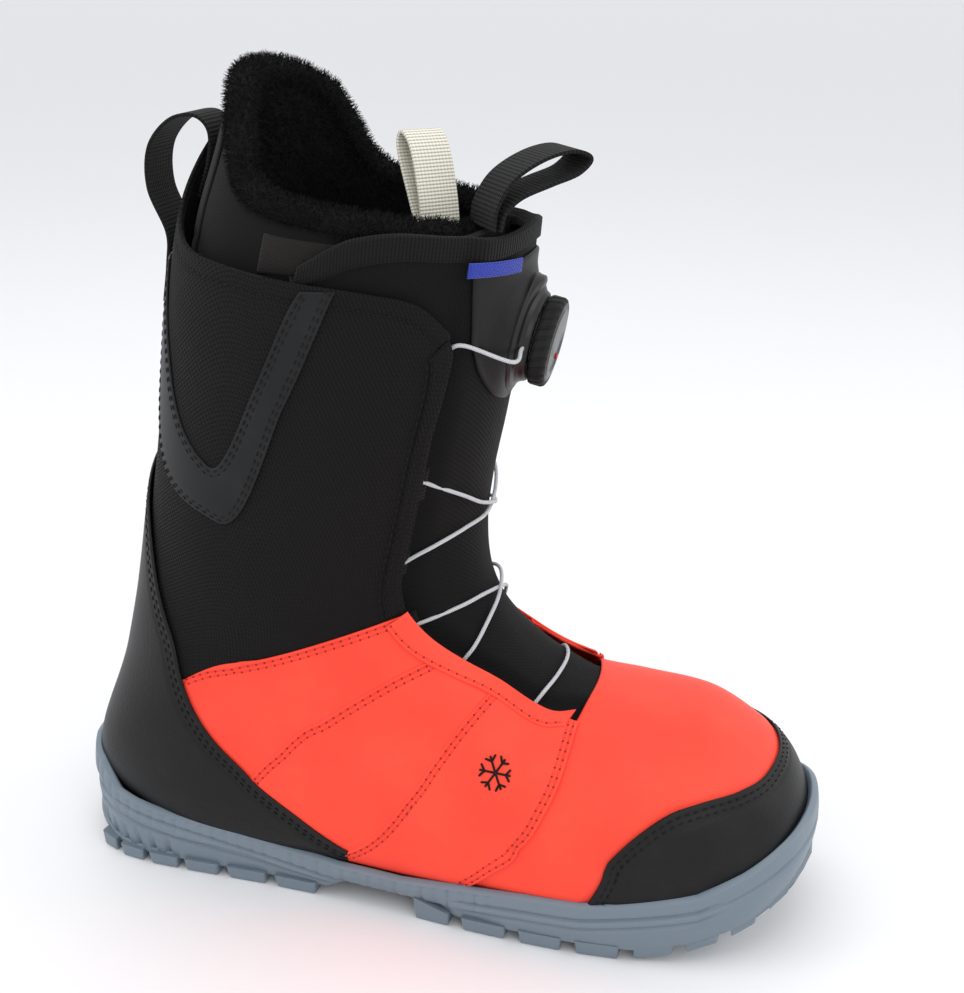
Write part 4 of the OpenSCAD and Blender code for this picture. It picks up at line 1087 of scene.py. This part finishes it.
# %% [markdown]
# ## Closure dial
# The dial is turned: a skirt glued to the pad, a shallow drum with the ratchet, and a knob with a
# rubber grip whose slanted ribs stop a gloved hand slipping. Inner parts keep their exact solids.

# %% Dial
SIDE = np.array([0, 1.0, 0])


def turned(name, profile, count, shape=None, finer=6):
    """A turned shape round the dial's axis. profile is (radius, height) corners in mm."""
    prof = []
    for (r0, h0), (r1, h1) in zip(profile[:-1], profile[1:]):
        prof += [(r0 + (r1 - r0) * k / finer, h0 + (h1 - h0) * k / finer) for k in range(finer)]
    prof = np.array(prof + [profile[-1]])
    turn = np.linspace(0, 2 * np.pi, count + 1)
    r = np.broadcast_to(prof[:, 0][:, None], (len(prof), count + 1)).copy()
    h = np.broadcast_to(prof[:, 1][:, None], r.shape).copy()
    if shape:
        r, h = shape(r, h, turn[None])
    points = (SEAT + (r * np.cos(turn))[..., None] * DOWN + (r * np.sin(turn))[..., None] * SIDE
              + h[..., None] * AXIS)
    obj = grid_object(name, points, np.stack(np.broadcast_arrays(turn[None] * 16, h), -1), closed=True)
    turn_outwards(obj, (SEAT - AXIS * 4) * MM)
    return obj


def skirt_shape(r, h, a):
    up, down = np.clip(-np.cos(a), 0, 1), np.clip(np.cos(a), 0, 1)
    low = np.clip((r - 14.6) / 4, 0, 1)
    return r * (1 + low * (0.15 * up**5 + 0.05 * down**6)), h + low * 2.2 * up**8 * (h > 0.6)


def grip_shape(r, h, a):
    outer = np.clip((r - 15.4) / 0.8, 0, 1)
    wave = np.sin(a * 26 + (h - 9.5) * 0.55)
    return r - outer * 0.55 * np.clip(wave * 3 - 1.2, -1, 1).clip(0), h


skirt = turned("dial_skirt", [(20.3, -1.2), (20.4, 0.2), (19.6, 1.2), (17.6, 2.0), (16.6, 3.4), (16.1, 5.0),
                              (15.6, 5.6), (13.4, 5.6), (12.7, 5.1)], 144, skirt_shape)
dress(skirt, BLACK_PLASTIC, "boot", ["dial_base"])
grip = turned("dial_grip", [(13.6, 6.4), (15.6, 6.3), (16.5, 6.8), (16.8, 7.6), (16.8, 11.4), (16.3, 12.3),
                            (15.3, 12.8), (14.2, 12.8), (13.6, 12.5), (13.2, 11.9)], 416, grip_shape)
dress(grip, SOFT_RUBBER, "knob", ["knob_grip"])
RED = moulded("red_plastic", (0.5, 0.012, 0.008), 0.3)
STEEL = moulded("steel", (0.55, 0.55, 0.57), 0.28, Metallic=1.0)


def swirl_shape(r, h, a):
    dish = np.clip((11.2 - r) / 1.0, 0, 1) * np.clip((r - 2.2) / 1.0, 0, 1)
    half = 0.5 + 0.5 * np.tanh(5 * np.sin(a + 0.16 * r))
    return r, h - 0.7 * dish * half


face = turned("dial_face", [(13.3, 11.9), (13.1, 12.9), (12.6, 13.2), (11.6, 13.25), (8, 13.35), (4, 13.4),
                            (0.02, 13.4)], 144, swirl_shape, finer=10)
dress(face, GREY_PLASTIC, "knob", ["knob_cap"])


def paint(name, material):
    obj = nodes[name]
    obj.data.materials.clear()
    obj.data.materials.append(material)


dot = turned("dial_dot", [(1.15, 0), (1.15, 0.5), (0.9, 0.75), (0.02, 0.8)], 24, finer=2)
for v in dot.data.vertices:
    v.co += Vector((DOWN * 6.6 + SIDE * 6.6 + AXIS * 12.75) * MM)
dress(dot, RED, "knob", ["knob_dot"])
for name in ("knob_core", "drive_plate", "lace_spool"):
    paint(name, BLACK_PLASTIC)
for name in ("dial_axle", "ratchet_ring", "pull_bush"):
    paint(name, STEEL)
print("dial done")

# %% [markdown]
# ## Lace
# One braided lace leaves the drum, dives under the flap, and crosses the tongue on its way down and up
# again. It is wound on the drum at both ends, so its route never changes.

# %% Lace
UNDER, OVER = -3.65, 0.9
HALF = [(13.1, 47, UNDER), (12.6, 52, UNDER), (12.1, 54, UNDER), (11.75, 50, UNDER), (11.55, 42, UNDER + 0.5),
        (11.1, 26, OVER), (10.7, 13, OVER + 0.6)]
MIDDLE = [
    (10.35, -4, OVER + 1.2), (10.38, -20, OVER + 0.4), (10.45, -34, OVER - 0.6), (10.46, -44, UNDER + 0.4),
    (10.4, -54, UNDER), (10.0, -60, UNDER), (9.55, -57, UNDER), (9.35, -47, UNDER), (9.2, -40, UNDER + 0.6),
    (8.95, -26, OVER), (8.75, -12, OVER + 0.6), (8.5, 6, OVER + 1.2), (8.33, 20, OVER + 0.5),
    (8.22, 31, OVER - 1), (8.2, 38, UNDER + 0.1), (8.16, 43, UNDER), (7.9, 50, UNDER), (7.4, 52, UNDER),
    (6.95, 46, UNDER), (6.8, 39, UNDER), (6.74, 33, UNDER + 0.1), (6.62, 24, OVER - 0.6), (6.5, 12, OVER),
    (6.45, 0, OVER),
]


def dial_point(x, y, z):
    return SEAT + DOWN * x + SIDE * y + AXIS * z


def route_points(rows):
    return [skin(s, a, d) for s, a, d in rows]


def other_way(rows):
    return [(s, -a, d) for s, a, d in rows[::-1]]


second = [(s - (0.02 if abs(a) < 8 else 0), a, d - (1 if abs(a) < 30 else 0))
          for s, a, d in other_way(MIDDLE)]
back_half = [(s, a, d - (0.3 if abs(a) < 20 else 0)) for s, a, d in other_way(HALF)]
lace_path = np.array(
    [dial_point(0, -13.4, 3.35), dial_point(0.8, -17.5, 3.3), dial_point(4, -24, 2.4)]
    + route_points([(13.18, 37, -0.6), (13.16, 42, UNDER + 0.6)] + HALF + MIDDLE + second[1:] + back_half
                   + [(13.16, -42, UNDER + 0.6), (13.18, -37, -0.6)])
    + [dial_point(4, 24, 2.4), dial_point(0.8, 17.5, 3.3), dial_point(0, 13.4, 3.35)])
lace_path = blend_rows(lace_path, np.linspace(0, len(lace_path) - 1, 12 * len(lace_path)))
LACE = cloth("braided_lace", (0.30, 0.31, 0.33), (0.72, 0.73, 0.75), 0.42, 0.00062, 0.785, 0.1, 0.7)
lace = tube_along("lace", lace_path, 0.76, 16)
dress(lace, LACE, "boot", ["lace"])
run = np.linalg.norm(np.diff(lace_path, axis=0), axis=1).sum()
print("lace length", round(float(run)), "mm")

# %% [markdown]
# Short webbing guides turn the lace round at each edge. Only their folds show beside the tongue.

# %% Guides
GUIDES = [(11.55, 44), (10.44, 46), (9.3, 44), (8.2, 39), (6.78, 33)]
for side, sign in (("lateral", 1), ("medial", -1)):
    for k, (s, a) in enumerate(GUIDES):
        low = [(s - 0.2, sign * (a - 2.6)), (s - 0.2, sign * (a + 9))]
        high = [(s + 0.2, sign * (a - 2.6)), (s + 0.2, sign * (a + 9))]
        guide = panel(f"{side}_guide_{k + 1}", low, high, 1.0, -2.75, waves=0.0, roll=0.9)
        dress(wall(guide, 1.7), WEBBING, "boot", [f"{side}_guide_{k + 1}"])
print("guides:", 2 * len(GUIDES))

# %% [markdown]
# ## Stitching
# Stitches are tiny rounded bars laid along the same lines that the leather was pressed along, one
# every few millimetres, with a flat dark red dot between each pair in the orange leather: painted shade
# for the needle hole.

# %% Stitches
HOLE_WIDE, HOLE_PROUD = 0.5, 0.2


def sew(name, rows, thread, body="boot", pitch=3.5, length=2.3, radius=0.36, hole_shade=None):
    stitches, shade_dots = bmesh.new(), bmesh.new()
    for path, depth, waves in rows:
        base = skin(path[:, 0], path[:, 1])
        place = skin(path[:, 0], path[:, 1], depth + waves * slow_noise(base, 28, 1))
        up = skin(path[:, 0], path[:, 1], depth + 1) - skin(path[:, 0], path[:, 1], depth)
        run = np.r_[0, np.cumsum(np.linalg.norm(np.diff(place, axis=0), axis=1))]
        for d in np.arange(1.5, run[-1] - 1.5, pitch):
            p, q = (np.array([np.interp(d + e, run, place[:, k]) for k in range(3)]) for e in (-0.5, 0.5))
            n = np.array([np.interp(d, run, up[:, k]) for k in range(3)])
            along = Vector(q - p).normalized()
            normal = Vector(n)
            side = normal.cross(along).normalized()
            normal = along.cross(side)
            spin = Matrix((along, side, normal)).transposed().to_4x4()
            middle = Matrix.Translation(Vector((p + q) / 2) * MM)
            size = Matrix.Diagonal((length / 2 * MM, radius * MM, radius * 0.8 * MM, 1))
            bmesh.ops.create_icosphere(stitches, subdivisions=1, radius=1, matrix=middle @ spin @ size)
            # a flat dark red dot after each stitch: painted shade standing for the needle hole
            if hole_shade:
                shift = Matrix.Translation(Vector((p + q) / 2 * MM) + along * pitch / 2 * MM)
                flat = Matrix.Diagonal((HOLE_WIDE * MM, HOLE_WIDE * MM, HOLE_PROUD * MM, 1))
                bmesh.ops.create_icosphere(shade_dots, subdivisions=1, radius=1, matrix=shift @ spin @ flat)
    made = []
    for bm, label, material in ((stitches, name, thread), (shade_dots, f"{name}_holes", hole_shade)):
        if material:
            made.append(dress(mesh_object(label, bm), material, body))
        else:
            bm.free()
    return made


def doubled(edge, first, second, depth, waves=0.25):
    line = dense(edge)
    return [(beside(line, first), depth, waves), (beside(line, second), depth, waves)]


for side, turn in (("lateral", lambda e: e), ("medial", mirror_edge)):
    sew(f"{side}_orange_seams",
        doubled(turn(SEAM_B), -1.6, -3.6, FRONT_UP) + doubled(turn(SEAM_A), -1.6, -3.6, MID_UP)
        + doubled(turn(FRONT), 1.6, 3.6, FRONT_UP) + doubled(turn(BLACK_SEAM), -1.6, -3.6, REAR_UP)
        + [(beside(dense(turn(STAY_IN)), 1.6), STAY_UP - 0.1, 0.25)],
        THREAD_ORANGE, hole_shade=PAINTED_HOLE_SHADE)
    sew(f"{side}_black_seams",
        doubled(turn(V_OUT), 1.4, 3.0, 0.75, 0.2) + doubled(turn(V_IN), -1.4, -3.0, 0.75, 0.2)
        + doubled(turn(FLAP_IN), 1.4, -1.4, 0.65, 0.2) + [(beside(dense(turn(CUFF_HIGH)), -6.0), -0.6, 0.5)]
        + [(beside(dense(turn(FLAP_EDGE)), -2.0), 0.65, 0.2)],
        THREAD_BLACK)
sew("cap_seams", doubled(both_sides(CAP), -2.6, -4.8, 1.05, 0.4), THREAD_BLACK)
sew("counter_seams", doubled(full_back(COUNTER_HIGH[::-1]), -2.6, -4.8, 2.07, 0.4), THREAD_BLACK)

# %% [markdown]
# ## Emblem and remaining solids
# A plain six-armed snowflake is embroidered on the outer quarter. The inner soles and the arch plate
# keep their exact solids with a foam, board or plastic finish.

# %% Emblem
flakes = []
for k in range(6):
    angle = math.radians(60 * k + 15)
    reach = np.linspace(0.6, 6.2, 14)
    arm = np.stack([6.86 + reach * math.sin(angle) / 27, 66 + reach * math.cos(angle) * 1.05], -1)
    flakes.append((arm, FRONT_UP + 0.1))
    for turn in (-0.9, 0.9):
        barb = np.linspace(0, 2.6, 8)
        root = arm[9]
        flakes.append((np.stack([root[0] + barb * math.sin(angle + turn) / 27,
                                 root[1] + barb * math.cos(angle + turn) * 1.05], -1), FRONT_UP + 0.1))
emblem = bmesh.new()
for path, depth in flakes:
    place = skin(path[:, 0], path[:, 1], depth)
    for p in place:
        spot = Matrix.Translation(Vector(p) * MM)
        bmesh.ops.create_icosphere(emblem, subdivisions=1, radius=0.5 * MM, matrix=spot)
emblem_obj = mesh_object("lateral_emblem_thread", emblem)
dress(emblem_obj, THREAD_BLACK, "boot", ["lateral_emblem"])
print("emblem faces:", len(emblem_obj.data.polygons))

# %% Remaining solids
FOAM = moulded("foam", (0.62, 0.63, 0.66), 0.85, speckle=700.0, strength=0.3)
BOARD = moulded("fibre_board", (0.6, 0.56, 0.44), 0.9, speckle=500.0, strength=0.4)
FABRIC = leather("inner_fabric", (0.006, 0.006, 0.007), (0.014, 0.014, 0.015), 0.9, 1800.0, 0.25, 0.0,
                 (0.02, 0.02, 0.02))
CREAM_PLAIN = moulded("cream_tape", (0.78, 0.75, 0.64), 0.8)
paint("midsole", FOAM)
paint("lasting_board", BOARD)
paint("shank_plate", BLACK_PLASTIC)
for name in ("liner_foot", "footbed", "front_loop_tail"):
    paint(name, FABRIC)
paint("liner_tab_tail", CREAM_PLAIN)
left = [n for n, o in nodes.items() if o.data.materials and o.data.materials[0] is None]
print("solids without a finish:", left)
